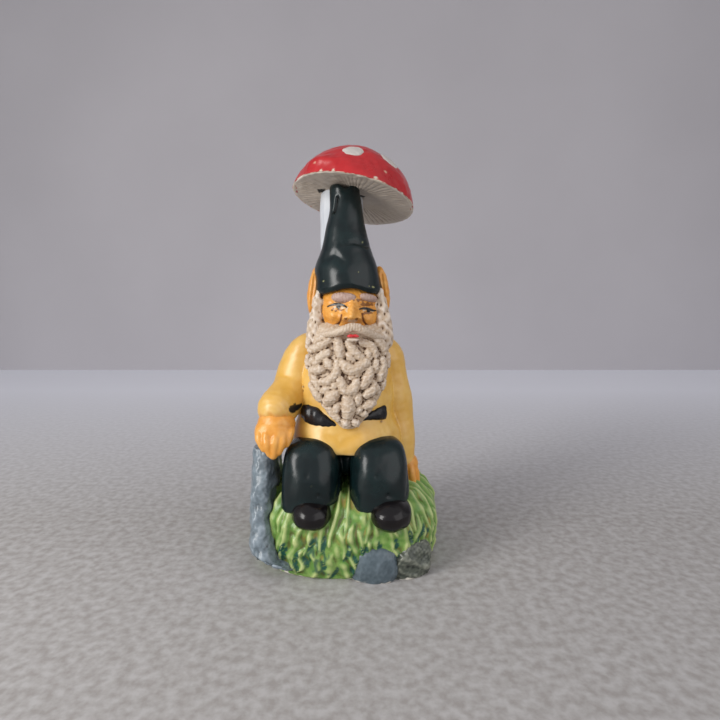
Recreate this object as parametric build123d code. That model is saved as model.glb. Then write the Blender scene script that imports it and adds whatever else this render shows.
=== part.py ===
from build123d import *
import os

# Seated garden gnome under a toadstool, as the moulded pieces it is put together from.
# The gnome faces -Y and its right hand is at -X. The origin is the middle of the base's flat
# underside, in the plane z = 0. Lengths are in millimetres and angles in degrees.

# Base: a grassy mound with stones set into its rim
mound_width = 68.0
mound_depth = 61.0
mound_height = 28.0
mound_corner = 24.0
rock_height = 42.0
rock_width = 11.0
rock_toe = 5.0
rock_length = 34.0
front_stone_radii = (9.2, 7.0, 8.6)
corner_stone_radii = (9.6, 12.5, 9.4)
stone_sinking = 4.8

# Trousers and boots
seat_width = 38.0
seat_depth = 29.0
seat_height = 18.0
seat_front = 6.0
leg_gap = 2.8
leg_radius = 9.9
thigh_length = 1.9
hem_radius = 9.6
hem_drop = 10.4
boot_radius = 5.9
boot_length = 18.0
boot_reach = 13.0
boot_offset = 2.0
boot_splay = 1.8

# Tunic
waist_width = 35.0
waist_depth = 33.0
waist_setback = 1.5
skirt_rise = 6.0
skirt_hang = 4.0
skirt_flare = 4.2
belt_height = 6.4
belt_thickness = 1.3
chest_height = 22.6
sleeve_radius = 7.6
elbow_radius = 7.1
right_cuff_radius = 6.2
left_cuff_radius = 4.9
arm_drop = 17.5
palm_radius = 4.8
hand_overhang = 3.6
finger_radius = 1.7
finger_length = 6.0

# Head, hair and hat
head_radius = 11.4
head_offset = 1.4
head_setback = 5.0
chin_drop = 9.0
brim_rise = 6.0
ear_height = 17.0
ear_depth = 9.0
ear_thickness = 4.6
ear_lean = 9.0
hair_thickness = 2.3
face_opening = 7.0
nose_radius = 2.6
brow_radius = 1.5
brow_spacing = 9.0
moustache_radius = 2.3
moustache_reach = 10.8
beard_width = 31.0
beard_thickness = 13.0
beard_rise = 5.5
beard_drop = 15.5
beard_tip_radius = 5.5
beard_edge = 4.5
beard_lean = 5.0
chin_clearance = 0.5
hat_height = 37.5
hat_brim_radius = 11.6
hat_tip_radius = 5.1
hat_lean = 7.5

# Toadstool
stem_foot_radius = 10.6
stem_top_radius = 8.0
stem_setback = 14.0
stem_lean = 2.4
cap_radius = 22.8
cap_height = 18.6
cap_lip = 2.0
cap_recess = 3.0
gill_rise = 1.8
cap_roll = 10.6
cap_pitch = 14.0
spot_radius = 3.8
spot_thickness = 0.35
rod_radius = 1.5
rod_clearance = 0.05
rod_grip = 9.0

# How far a piece is modelled into its neighbour before it is trimmed to fit
overlap = 1.5
# A ball at a bend is this much fatter than the limb it joins
ball_swell = 1.02
# Anything smaller than this that a cut leaves behind is dropped
smallest_solid = 2.0

# Levels and places worked out from the sizes above
seat_z = mound_height
hips_z = seat_z + seat_height
belt_z = hips_z + skirt_rise
chest_z = belt_z + belt_height
neck_z = chest_z + chest_height
shoulder_z = neck_z - 4.8
head_z = neck_z + chin_drop
brim_z = head_z + brim_rise
hat_top_z = brim_z + hat_height
leg_z = hips_z - leg_radius
hem_z = leg_z - hem_drop
leg_x = leg_radius + leg_gap / 2
knee_y = -(seat_front + thigh_length + leg_radius * ball_swell)
boot_z = hem_z - boot_radius * 0.72
elbow_z = shoulder_z - arm_drop
wrist_z = rock_height + palm_radius * 0.9
arm_x = waist_width / 2 - 3.0
rock_x = -mound_width / 2 + rock_width / 2
hand_x = rock_x + hand_overhang
right_cuff_x = hand_x - 1.2
face_y = -head_setback - head_radius
beard_z = neck_z - beard_width / 2 + beard_rise
hat_top = Vector(head_offset - 1.8, -head_setback + hat_lean, hat_top_z)
cap_centre = Vector(hat_top.X + 2.8, stem_setback - 4.5, hat_top_z - 3.4)
stem_foot = Vector(0, stem_setback, seat_z - overlap)
stem_top = Vector(cap_centre.X - 4.4, stem_setback - stem_lean, cap_centre.Z + cap_recess + overlap)


def between(start, end, start_radius, end_radius):
    """A cone or bar from one point to another."""
    along = Vector(*end) - Vector(*start)
    if abs(start_radius - end_radius) < 0.001:
        bar = Solid.make_cylinder(start_radius, along.length)
    else:
        bar = Solid.make_cone(start_radius, end_radius, along.length)
    return Part() + Plane(origin=start, z_dir=along) * bar


def ball(place, along, radius):
    """A ball at the end of a limb, with its poles in line with the limb."""
    return Plane(origin=place, z_dir=along) * Sphere(radius * ball_swell)


def limb(*stations):
    """Cones joined by a ball at each bend, through (x, y, z, radius) stations; the last end is flat."""
    shape = Part()
    for first, second in zip(stations, stations[1:]):
        along = Vector(*second[:3]) - Vector(*first[:3])
        shape = shape + ball(first[:3], along, first[3])
        shape = shape + between(first[:3], second[:3], first[3], second[3])
    return shape


def capsule(*stations):
    """A limb with both ends round."""
    before, last = stations[-2:]
    along = Vector(*last[:3]) - Vector(*before[:3])
    return limb(*stations) + ball(last[:3], along, last[3])


def pebble(centre, radii, turn):
    """An ellipsoid cut level with the foot of the base."""
    below = Box(500, 500, 100, align=(Align.CENTER, Align.CENTER, Align.MAX))
    return Pos(*centre) * Rot(*turn) * scale(Sphere(1), by=radii) - below


def waist_oval(widening):
    """Outline of the tunic at the waist, widened all round."""
    return Pos(0, -waist_setback) * Ellipse(waist_width / 2 + widening, waist_depth / 2 + widening)


def trimmed(shape, *neighbours, pieces=1):
    """The shape less its neighbours, keeping the largest solids."""
    for neighbour in neighbours:
        shape = shape - neighbour
    solids = sorted(shape.solids(), key=lambda solid: solid.volume, reverse=True)
    return Part() + [solid for solid in solids[:pieces] if solid.volume > smallest_solid]


def grass_mound():
    """Heap with a rounded square foot that draws in towards the top."""
    faces = []
    for rise, share in ((0.0, 0.94), (0.5, 1.0), (0.8, 0.88), (1.0, 0.67)):
        outline = RectangleRounded(mound_width * share, mound_depth * share, mound_corner * share)
        faces.append(Pos(0, 0, mound_height * rise) * outline)
    return loft(faces)


def side_rock():
    """Upright rock at the gnome's right, wider at its toe, with flat chiselled faces."""
    outer = -mound_width / 2
    near = -mound_depth / 2 + 3.0
    faces = []
    for rise, toe, setback, growth in ((0.0, 1.0, 0.0, 1.2), (0.22, 0.2, 2.5, 1.15), (1.0, -0.2, 9.5, 0.75)):
        front = near + setback
        inner = outer + rock_width + rock_toe * toe
        length = rock_length * growth
        outline = Polyline(
            (outer + 2.5, front + 3.0),
            (inner - 3.5, front),
            (inner, front + 4.0),
            (inner - 1.0, front + length * 0.7),
            (outer + 5.0, front + length),
            (outer, front + length * 0.45),
            close=True,
        )
        faces.append(Pos(0, 0, rock_height * rise) * make_face(outline))
    return loft(faces, ruled=True)


def front_stone():
    return pebble((mound_width * 0.145, -mound_depth * 0.39, stone_sinking), front_stone_radii, (0, 8, -6))


def corner_stone():
    return pebble((mound_width * 0.28, -mound_depth * 0.28, stone_sinking), corner_stone_radii, (0, 0, 20))


def boot(side):
    """Boot with a rounded toe that shows below the trouser hem."""
    x = boot_offset + side * (leg_x + boot_splay)
    toe_y = knee_y - boot_reach + boot_radius / 2
    heel_y = toe_y + boot_length - boot_radius * 2
    return capsule((x, heel_y, boot_z, boot_radius), (x + side * 0.8, toe_y, boot_z - 0.6, boot_radius * 0.98))


def leg(side):
    """Thigh lying forward from the seat, a round knee and a short shin that ends at the hem."""
    x = side * leg_x
    thigh = between((x, -seat_front, leg_z), (x, knee_y, leg_z), leg_radius, leg_radius)
    shin = between((x, knee_y, leg_z), (x, knee_y, hem_z), leg_radius, hem_radius)
    knee = ball((x, knee_y, leg_z), (0, 0, 1), leg_radius)
    return thigh + shin + knee


def trousers_seat():
    """Hips of the trousers, flat on the mound and flat where the legs start."""
    slab = extrude(Pos(0, -waist_setback, seat_z) * Ellipse(seat_width / 2, seat_depth / 2), seat_height)
    front = Pos(0, -seat_front, seat_z) * Box(200, 200, 200, align=(Align.CENTER, Align.MAX, Align.CENTER))
    return slab - front


def tunic_skirt():
    """Flared hem of the tunic, draped over the thighs and round the seat."""
    hem = Pos(0, 0, hips_z - skirt_hang) * waist_oval(skirt_flare)
    top = Pos(0, 0, belt_z) * waist_oval(belt_thickness)
    return loft([hem, top], ruled=True)


def belt():
    """Strap round the waist."""
    ring = waist_oval(belt_thickness) - waist_oval(0)
    return extrude(Pos(0, 0, belt_z) * ring, belt_height)


def tunic_body():
    """Straight waist under the belt, and above it the chest, drawn in to the neck."""
    waist = extrude(Pos(0, 0, belt_z) * waist_oval(0), belt_height)
    half_width, half_depth = waist_width / 2, waist_depth / 2
    levels = (
        (0.0, 1.0, 1.0, -waist_setback),
        (0.5, 0.98, 0.93, -1.0),
        (0.85, 0.86, 0.74, 0.0),
        (1.0, 0.7, 0.56, -1.0),
    )
    faces = []
    for rise, across, along, y in levels:
        outline = Ellipse(half_width * across, half_depth * along)
        faces.append(Pos(0, y, chest_z + chest_height * rise) * outline)
    return waist + loft(faces)


def right_sleeve():
    """Arm bent so that the cuff reaches forward over the rock."""
    return limb(
        (-arm_x, 0.5, shoulder_z, sleeve_radius),
        (-arm_x + (right_cuff_x + arm_x) * 0.83, -5.0, elbow_z + 1.0, elbow_radius),
        (right_cuff_x, -15.5, wrist_z + 6.0, right_cuff_radius),
    )


def left_sleeve():
    """Arm hanging straight, with its cuff beside the thigh."""
    return limb(
        (arm_x, 0.5, shoulder_z, sleeve_radius),
        (arm_x + 3.4, 1.0, elbow_z - 0.5, elbow_radius * 0.97),
        (arm_x + 8.2, -3.0, leg_z - 1.5, left_cuff_radius),
    )


def right_hand():
    """Broad hand over the top of the rock, with its fingers down the front."""
    x = hand_x
    y = -18.5
    hand = capsule((x - 2.4, y + 0.5, wrist_z, palm_radius), (x + 3.4, y, wrist_z - 0.4, palm_radius * 0.96))
    for index in range(4):
        finger_x = x - 4.9 + 3.6 * index
        base = (finger_x, y - 3.5, wrist_z - 1.0, finger_radius)
        tip = (finger_x + 0.8, y - 4.6, wrist_z - finger_length, finger_radius * 0.8)
        hand = hand + capsule(base, tip)
    return hand


def left_hand():
    """Hand hanging from its cuff to the grass beside the thigh."""
    x = arm_x + 8.6
    wrist = leg_z - 1.0
    hand = capsule(
        (x, -3.2, wrist, left_cuff_radius * 0.7),
        (x + 0.6, -3.6, wrist - palm_radius, left_cuff_radius * 0.82),
    )
    for index in range(3):
        finger_y = -5.8 + 2.6 * index
        base = (x + 0.8, finger_y, wrist - palm_radius * 1.2, finger_radius * 0.75)
        tip = (x + 2.0, finger_y, wrist - palm_radius - finger_length, finger_radius * 0.6)
        hand = hand + capsule(base, tip)
    return hand


def slice_between(low, high):
    """A wide slab of space from one level to another."""
    return Pos(0, 0, low) * Box(200, 200, high - low, align=(Align.CENTER, Align.CENTER, Align.MIN))


def head():
    """Ball, flat where it stands on the neck and where the hat sits on it."""
    ball = Pos(head_offset, -head_setback, head_z) * Sphere(head_radius)
    return ball & slice_between(neck_z, brim_z)


def hair():
    """Sideburns and the hair at the nape, open over the face."""
    ball = Pos(head_offset, -head_setback, head_z) * Sphere(head_radius + hair_thickness)
    opening = Pos(0, -head_setback - face_opening, head_z) * Box(
        200, 200, 200, align=(Align.CENTER, Align.MAX, Align.CENTER)
    )
    return (ball & slice_between(neck_z, brim_z)) - opening


def hat():
    """Tall cone that leans back until its tip meets the gills of the toadstool."""
    foot = Vector(head_offset, -head_setback, brim_z)
    along = (hat_top - foot).normalized()
    slope = (hat_brim_radius - hat_tip_radius) / hat_height
    low = foot - along * hat_brim_radius
    low_radius = hat_brim_radius * (1 + slope)
    cone = between(low, hat_top + along * overlap, low_radius, hat_tip_radius)
    return cone & slice_between(brim_z, hat_top_z + hat_height)


def ear(side):
    """Long flat ear that shows behind the brim."""
    outline = Plane.YZ * Ellipse(ear_depth / 2, ear_height / 2)
    slab = extrude(outline, ear_thickness / 2, both=True)
    x = head_offset / 2 + side * hat_brim_radius
    return Pos(x, -head_setback + 2.5, brim_z + 1.2) * Rot(8, -side * ear_lean, 0) * slab


def nose():
    return Pos(head_offset - 0.5, face_y - nose_radius * 0.4, head_z - 1.6) * Sphere(nose_radius)


def eyebrows():
    """Two raised tufts over the eyes."""
    tufts = Part()
    for side in (-1, 1):
        x = head_offset + side * brow_spacing / 2
        inner = (x - side * 1.9, face_y + 1.0, head_z + 4.0, brow_radius)
        outer = (x + side * 1.9, face_y + 2.2, head_z + 4.4, brow_radius * 0.9)
        tufts = tufts + capsule(inner, outer)
    return tufts


def moustache():
    """Two drooping locks that meet under the nose."""
    locks = Part()
    for side in (-1, 1):
        locks = locks + capsule(
            (head_offset + side * 0.8, face_y - 2.0, head_z - 5.6, moustache_radius * 0.9),
            (head_offset + side * moustache_reach * 0.55, face_y - 0.6, head_z - 7.2, moustache_radius),
            (head_offset + side * moustache_reach, face_y + 3.6, head_z - 9.4, moustache_radius * 0.7),
        )
    return locks


def beard():
    """Full beard that narrows to a tip over the belt, with a rounded front edge."""
    half = beard_width / 2
    hull = make_hull(
        [
            Edge.make_circle(half),
            Pos(0, -beard_drop) * Edge.make_circle(beard_tip_radius),
        ]
    )
    mouth = Pos(0, neck_z - chin_clearance - beard_z) * Rectangle(
        beard_width * 2, beard_width, align=(Align.CENTER, Align.MIN)
    )
    slab = extrude(make_face(hull) - mouth, beard_thickness)
    slab = fillet(slab.faces().sort_by(Axis.Z)[-1].edges(), beard_edge)
    back_y = face_y + 7.5
    return Pos(head_offset * 0.5, back_y, beard_z) * Rot(90 - beard_lean, 0, 0) * slab


def cap_ball(growth):
    """The ball whose upper part is the dome of the cap, in the cap's own frame."""
    radius = (cap_radius ** 2 + cap_height ** 2) / (2 * cap_height)
    return Pos(0, 0, cap_height - radius) * Sphere(radius + growth)


def on_cap(shape):
    """Carries a shape from the cap's own frame, z along its axis, to its leaning place."""
    return Pos(*cap_centre) * Rot(-cap_pitch, cap_roll, 0) * shape


def toadstool_cap():
    """Dome with a shallow recess underneath for the gill disc."""
    recess = Cylinder(cap_radius - cap_lip, cap_recess, align=(Align.CENTER, Align.CENTER, Align.MIN))
    return on_cap((cap_ball(0) & slice_between(0, cap_height * 2)) - recess)


def gill_disc():
    """Underside of the cap: a disc whose lower face rises towards the stem."""
    disc = Cylinder(cap_radius - cap_lip, cap_recess, align=(Align.CENTER, Align.CENTER, Align.MIN))
    hollow = Part() + Solid.make_cone(cap_radius - cap_lip * 2, 0, gill_rise)
    return on_cap(disc - hollow)


def cap_spots():
    """Round raised spots spaced over the dome, as (turn about the axis, angle down from the top)."""
    spots = Part()
    shell = cap_ball(spot_thickness) - cap_ball(0)
    for turn, down in ((264, 58), (312, 54), (10, 60), (75, 24), (85, 62), (140, 52), (196, 58)):
        post = Cylinder(spot_radius, cap_radius * 2, align=(Align.CENTER, Align.CENTER, Align.MIN))
        spots = spots + (shell & Rot(0, 0, turn) * Rot(0, down, 0) * post)
    return on_cap(spots)


def toadstool_stem():
    """Round stalk behind the gnome, thicker at the foot."""
    return between(stem_foot, stem_top, stem_foot_radius, stem_top_radius)


def rod(radius):
    """Straight bar up the middle of the stem, gripped by the mound and by the cap."""
    along = (stem_top - stem_foot).normalized()
    return between(stem_foot - along * rod_grip, stem_top + along * rod_grip * 0.6, radius, radius)


def assemble():
    """Fits the pieces together: each is trimmed to the ones before it that it meets."""
    node = {}

    def fit(name, shape, *neighbours, pieces=1):
        cutters = [node[other] for other in neighbours]
        node[name] = trimmed(shape, *cutters, pieces=pieces)

    bore = rod(rod_radius + rod_clearance)
    fit("stem_rod", rod(rod_radius))
    fit("toadstool_cap", toadstool_cap() - bore)
    fit("toadstool_stem", toadstool_stem() - bore, "toadstool_cap")
    fit("gill_disc", gill_disc() - toadstool_stem())
    fit("cap_spots", cap_spots(), pieces=7)
    fit("side_rock", side_rock())
    fit("front_stone", front_stone())
    fit("corner_stone", corner_stone(), "front_stone")
    fit("right_boot", boot(-1))
    fit("left_boot", boot(1))
    fit("right_leg", leg(-1), "right_boot", "side_rock")
    fit("left_leg", leg(1), "left_boot")
    fit("trousers_seat", trousers_seat() - toadstool_stem())
    fit("grass_mound", grass_mound() - toadstool_stem() - bore, "side_rock", "front_stone",
        "corner_stone", "right_boot", "left_boot", "right_leg", "left_leg")
    fit("right_sleeve", right_sleeve())
    fit("left_sleeve", left_sleeve(), "left_leg", "trousers_seat")
    fit("right_hand", right_hand(), "right_sleeve", "side_rock", "right_leg")
    fit("left_hand", left_hand(), "left_sleeve", "left_leg", "grass_mound", "trousers_seat")
    fit("head", head() - toadstool_stem(), "right_sleeve", "left_sleeve")
    fit("tunic_body", tunic_body() - toadstool_stem(), "right_sleeve", "left_sleeve")
    fit("belt", belt() - toadstool_stem(), "right_sleeve", "left_sleeve")
    fit("tunic_skirt", tunic_skirt() - toadstool_stem(), "right_leg", "left_leg", "trousers_seat",
        "left_sleeve", "right_sleeve", "right_hand", "left_hand")
    fit("hat", hat() - toadstool_stem(), "gill_disc")
    fit("right_ear", ear(-1), "head", "hat")
    fit("left_ear", ear(1), "head", "hat")
    fit("hair", hair() - toadstool_stem(), "head", "right_ear", "left_ear", "right_sleeve", "left_sleeve")
    fit("nose", nose(), "head")
    fit("eyebrows", eyebrows(), "head", "hat", pieces=2)
    fit("moustache", moustache(), "head", "nose", "hair")
    fit("beard", beard(), "head", "nose", "moustache", "hair", "tunic_body", "belt",
        "tunic_skirt", "right_sleeve", "left_sleeve")
    return node


os.makedirs("parts", exist_ok=True)
for name, shape in assemble().items():
    export_step(shape, f"parts/{name}.step")
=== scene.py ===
import math

import bpy
import numpy as np
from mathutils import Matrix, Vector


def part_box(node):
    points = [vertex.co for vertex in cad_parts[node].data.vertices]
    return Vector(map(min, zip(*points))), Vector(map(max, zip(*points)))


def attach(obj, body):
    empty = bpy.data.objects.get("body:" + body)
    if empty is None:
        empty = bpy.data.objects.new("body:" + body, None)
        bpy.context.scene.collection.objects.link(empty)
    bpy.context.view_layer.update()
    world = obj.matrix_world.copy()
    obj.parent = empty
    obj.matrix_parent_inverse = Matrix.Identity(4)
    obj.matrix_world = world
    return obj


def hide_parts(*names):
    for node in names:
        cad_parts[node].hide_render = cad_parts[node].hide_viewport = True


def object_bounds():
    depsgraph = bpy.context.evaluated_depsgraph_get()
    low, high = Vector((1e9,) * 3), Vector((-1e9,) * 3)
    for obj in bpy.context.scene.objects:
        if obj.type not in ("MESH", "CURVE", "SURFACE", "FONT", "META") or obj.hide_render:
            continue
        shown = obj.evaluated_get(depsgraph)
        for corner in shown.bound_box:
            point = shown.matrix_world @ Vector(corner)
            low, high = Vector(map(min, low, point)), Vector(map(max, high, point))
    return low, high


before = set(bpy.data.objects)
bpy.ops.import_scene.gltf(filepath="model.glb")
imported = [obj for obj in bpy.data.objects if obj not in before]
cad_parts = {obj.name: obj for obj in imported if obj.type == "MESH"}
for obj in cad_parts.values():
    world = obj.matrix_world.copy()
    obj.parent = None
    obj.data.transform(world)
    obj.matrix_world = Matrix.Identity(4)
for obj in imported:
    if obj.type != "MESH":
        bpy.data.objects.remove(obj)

cadLow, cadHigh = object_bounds()
mm = 0.001  # every size below is in millimetres


# places from the CAD nodes

def nodeBox(name):  # lowest and highest corner of a CAD node
    low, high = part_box(name)
    return np.array(low) / mm, np.array(high) / mm


def inBox(name, x, y, z):  # the point at these shares of a node's box
    low, high = nodeBox(name)
    return low + (high - low) * np.array([x, y, z])


# surfaces

def smoothLine(stations, count):
    # a cubic through each pair of stations, whose slope at a station is half the step between its neighbours
    stations = np.asarray(stations, float)
    place = np.linspace(0, len(stations) - 1, count)
    first = np.minimum(place.astype(int), len(stations) - 2)
    t = (place - first)[:, None]
    picks = [np.clip(first + k, 0, len(stations) - 1) for k in (-1, 0, 1, 2)]
    a, b, c, d = (stations[p] for p in picks)
    return 0.5 * (2 * b + (c - a) * t + (2 * a - 5 * b + 4 * c - d) * t ** 2
                  + (3 * b - a - 3 * c + d) * t ** 3)


def unit(vectors):
    return vectors / np.maximum(np.linalg.norm(vectors, axis=-1, keepdims=True), 1e-9)


def closedRings(rings):
    # rings[n, m] are points round a closed section; quads join neighbours and a fan shuts each end
    count, around = rings.shape[:2]
    grid = np.arange(count * around).reshape(count, around)
    turned = np.roll(grid, -1, axis=1)
    quads = np.stack([grid[:-1], turned[:-1], turned[1:], grid[1:]], -1).reshape(-1, 4)
    points = np.concatenate([rings.reshape(-1, 3), rings[0].mean(0)[None], rings[-1].mean(0)[None]])
    low, high = count * around, count * around + 1
    tris = np.concatenate([
        np.stack([turned[0], grid[0], np.full(around, low)], -1),
        np.stack([grid[-1], turned[-1], np.full(around, high)], -1),
    ])
    return outward(points, quads, tris)


def outward(points, quads, tris):
    # six times the signed volume is the sum of corner . (corner x corner); if negative, all faces turn
    halves = np.concatenate([quads[:, [0, 1, 2]], quads[:, [0, 2, 3]], tris])
    a, b, c = (points[halves[:, k]] for k in range(3))
    if (a * np.cross(b, c)).sum() < 0:
        quads, tris = quads[:, ::-1], tris[:, ::-1]
    return points, quads, tris


def joined(shapes):
    points, quads, tris, first = [], [], [], 0
    for p, q, t in shapes:
        points.append(p)
        quads.append(q + first)
        tris.append(t + first)
        first += len(p)
    return np.concatenate(points), np.concatenate(quads), np.concatenate(tris)


def power(value, exponent):
    return np.sign(value) * np.abs(value) ** exponent


def ball(centre, radii, tilt=(0, 0, 0), squareness=1.0, rows=28, around=40):
    # x = rx cos(v) cos(u), y = ry cos(v) sin(u), z = rz sin(v), each raised to 1 / squareness; then turned
    v = np.linspace(-90, 90, rows + 2)[1:-1, None] * math.pi / 180
    u = np.linspace(0, 2 * math.pi, around, endpoint=False)[None]
    e = 1 / squareness
    x = power(np.cos(v), e) * power(np.cos(u), e)
    y = power(np.cos(v), e) * power(np.sin(u), e)
    z = power(np.sin(v), e) + 0 * u
    rings = np.stack([x, y, z], -1) * np.asarray(radii, float)
    return closedRings(rings @ turning(tilt).T + np.asarray(centre, float))


def turning(degrees):  # rotation about x, then y, then z
    a, b, c = (math.radians(d) for d in degrees)
    aboutX = np.array([[1, 0, 0], [0, math.cos(a), -math.sin(a)], [0, math.sin(a), math.cos(a)]])
    aboutY = np.array([[math.cos(b), 0, math.sin(b)], [0, 1, 0], [-math.sin(b), 0, math.cos(b)]])
    aboutZ = np.array([[math.cos(c), -math.sin(c), 0], [math.sin(c), math.cos(c), 0], [0, 0, 1]])
    return aboutZ @ aboutY @ aboutX


def tube(stations, count=20, around=16, level=(0, 1, 0), flat=1.0):
    # a round section carried along a smooth line of (x, y, z, radius) stations; half balls shut the ends
    line = smoothLine(stations, count)
    centre, radius = line[:, :3], np.maximum(line[:, 3], 0.05)
    ahead = unit(np.gradient(centre, axis=0))
    ends = np.linspace(0, math.pi / 2, 6)[1:-1]
    startC = centre[0] - ahead[0] * radius[0] * np.cos(ends)[:, None]
    endC = centre[-1] + ahead[-1] * radius[-1] * np.cos(ends[::-1])[:, None]
    centre = np.concatenate([startC, centre, endC])
    radius = np.concatenate([radius[0] * np.sin(ends), radius, radius[-1] * np.sin(ends[::-1])])
    ahead = np.concatenate([np.repeat(ahead[:1], 4, 0), ahead, np.repeat(ahead[-1:], 4, 0)])
    side = unit(np.cross(ahead, np.asarray(level, float)))
    lift = np.cross(side, ahead)
    u = np.linspace(0, 2 * math.pi, around, endpoint=False)
    section = np.cos(u)[None, :, None] * side[:, None] + np.sin(u)[None, :, None] * lift[:, None] * flat
    return closedRings(centre[:, None] + radius[:, None, None] * section)


def levelsFrom(anchor, levels):
    # stations whose first three values are height, x and y, counted from an anchor
    levels = np.array(levels, float)
    levels[:, :3] += anchor[[2, 0, 1]]
    return levels


def stack(levels, count=60, around=96, squareness=1.0):
    # level ovals carried up a smooth line of (z, middle x, middle y, radius x, radius y) stations
    line = smoothLine(levels, count)
    u = np.linspace(0, 2 * math.pi, around, endpoint=False)
    e = 1 / squareness
    x = line[:, 1, None] + line[:, 3, None] * power(np.cos(u), e)
    y = line[:, 2, None] + line[:, 4, None] * power(np.sin(u), e)
    return closedRings(np.stack([x, y, np.repeat(line[:, :1], around, 1)], -1))


def bump(value, start, end):  # 0 before start, 1 past end, smooth between them
    t = np.clip((value - start) / (end - start), 0, 1)
    return t * t * (3 - 2 * t)


def unevenness(points, size, seed, waves=18):
    # plane waves in random directions, each about as long as size, added up; mostly between -1 and 1
    rng = np.random.default_rng(seed)
    ways = unit(rng.normal(size=(waves, points.shape[-1])))
    lengths = size * rng.uniform(0.7, 1.6, waves)
    total = np.zeros(points.shape[:-1])
    for way, length, start in zip(ways, lengths, rng.uniform(0, 2 * math.pi, waves)):
        total += np.sin(points @ way * (2 * math.pi / length) + start)
    return total / math.sqrt(waves)


def awayFrom(points, path):
    # distance from each point to a line through the path's points
    best = np.full(points.shape[:-1], 1e9)
    path = np.asarray(path, float)
    for a, b in zip(path, path[1:]):
        t = np.clip(((points - a) @ (b - a)) / max((b - a) @ (b - a), 1e-9), 0, 1)
        best = np.minimum(best, np.linalg.norm(points - a - t[..., None] * (b - a), axis=-1))
    return best


# whole skins: edges, normals, smoothing

def edgesOf(quads, tris):
    pairs = [quads[:, [k, (k + 1) % 4]] for k in range(4)] + [tris[:, [k, (k + 1) % 3]] for k in range(3)]
    pairs = np.sort(np.concatenate(pairs), axis=1)
    return np.unique(pairs, axis=0)


def spread(points, edges, rounds, strength=0.5):
    # each round moves a point, or a value, part of the way to the mean of its neighbours
    size = len(points)
    values = points.reshape(size, -1).astype(float)
    links = np.bincount(edges.ravel(), minlength=size)[:, None]
    for _ in range(rounds):
        total = np.stack([
            np.bincount(edges[:, 0], values[edges[:, 1], k], size)
            + np.bincount(edges[:, 1], values[edges[:, 0], k], size)
            for k in range(values.shape[1])
        ], -1)
        values = values + (total / np.maximum(links, 1) - values) * strength
    return values.reshape(points.shape)


def evened(points, edges, rounds):
    # a round in and a slightly longer round back out, so lumps even out and the form keeps its size
    for _ in range(rounds):
        points = spread(points, edges, 1, 0.5)
        points = spread(points, edges, 1, -0.52)
    return points


def normalsOf(points, quads, tris):
    size = len(points)
    total = np.zeros((size, 3))
    for faces, a, b, c, d in ((quads, 0, 2, 1, 3), (tris, 0, 1, 0, 2)):
        if not len(faces):
            continue
        across = np.cross(points[faces[:, b]] - points[faces[:, a]],
                          points[faces[:, d]] - points[faces[:, c]])
        for corner in range(faces.shape[1]):
            for k in range(3):
                total[:, k] += np.bincount(faces[:, corner], across[:, k], size)
    return unit(total)


def pushed(points, quads, tris, amount):  # each point moved out along its normal
    return points + normalsOf(points, quads, tris) * amount[:, None]


def hollowness(points, quads, tris, rounds=16):
    # how far the skin lies below a smoothed copy of itself: above 0 in creases, below 0 on crests
    edges = edgesOf(quads, tris)
    return ((spread(points, edges, rounds) - points) * normalsOf(points, quads, tris)).sum(-1)


def makeMesh(name, points, quads, tris):
    mesh = bpy.data.meshes.new(name)
    mesh.from_pydata((points * mm).tolist(), [], quads.tolist() + tris.tolist())
    return mesh


def fused(shapes, voxel, rounds):
    # closed shapes that pass into each other, made one skin by a voxel remesh and evened out
    points, quads, tris = joined(shapes)
    rough = bpy.data.objects.new("rough", makeMesh("rough", points, quads, tris))
    bpy.context.scene.collection.objects.link(rough)
    remesh = rough.modifiers.new("remesh", "REMESH")
    remesh.mode = "VOXEL"
    remesh.voxel_size = voxel * mm
    bpy.context.view_layer.update()
    skin = bpy.data.meshes.new_from_object(rough.evaluated_get(bpy.context.evaluated_depsgraph_get()))
    flat = np.empty(len(skin.vertices) * 3)
    skin.vertices.foreach_get("co", flat)
    totals = np.empty(len(skin.polygons), int)
    skin.polygons.foreach_get("loop_total", totals)
    corners = np.empty(len(skin.loops), int)
    skin.loops.foreach_get("vertex_index", corners)
    starts = np.concatenate([[0], np.cumsum(totals)[:-1]])
    quads = corners[starts[totals == 4][:, None] + np.arange(4)]
    tris = corners[starts[totals == 3][:, None] + np.arange(3)]
    bpy.data.objects.remove(rough)
    bpy.data.meshes.remove(skin)
    points, quads, tris = outward(flat.reshape(-1, 3) / mm, quads, tris)
    return evened(spread(points, edgesOf(quads, tris), 1), edgesOf(quads, tris), rounds), quads, tris


def makePiece(name, shape, nodes, slot, material, **values):
    # nodes are the CAD nodes that the piece stands for; values are kept on its points for the material,
    # where a missing one reads as 0
    mesh = makeMesh(name, *shape)
    mesh.shade_smooth()
    if "hollow" not in values:
        values["hollow"] = hollowness(*shape)
    for label, value in values.items():
        layer = mesh.attributes.new(label, "FLOAT", "POINT")
        layer.data.foreach_set("value", np.ascontiguousarray(value, np.float32))
    mesh.materials.append(material)
    piece = bpy.data.objects.new(name, mesh)
    bpy.context.scene.collection.objects.link(piece)
    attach(piece, "root")
    if nodes:
        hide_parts(*nodes)
    print(name, len(mesh.polygons), "faces")
    return piece


# materials

def linear(hexColour):  # sRGB hex to the linear colour that a shader takes
    parts = [int(hexColour[k:k + 2], 16) / 255 for k in (0, 2, 4)]
    return tuple(p / 12.92 if p <= 0.04045 else ((p + 0.055) / 1.055) ** 2.4 for p in parts) + (1.0,)


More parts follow.
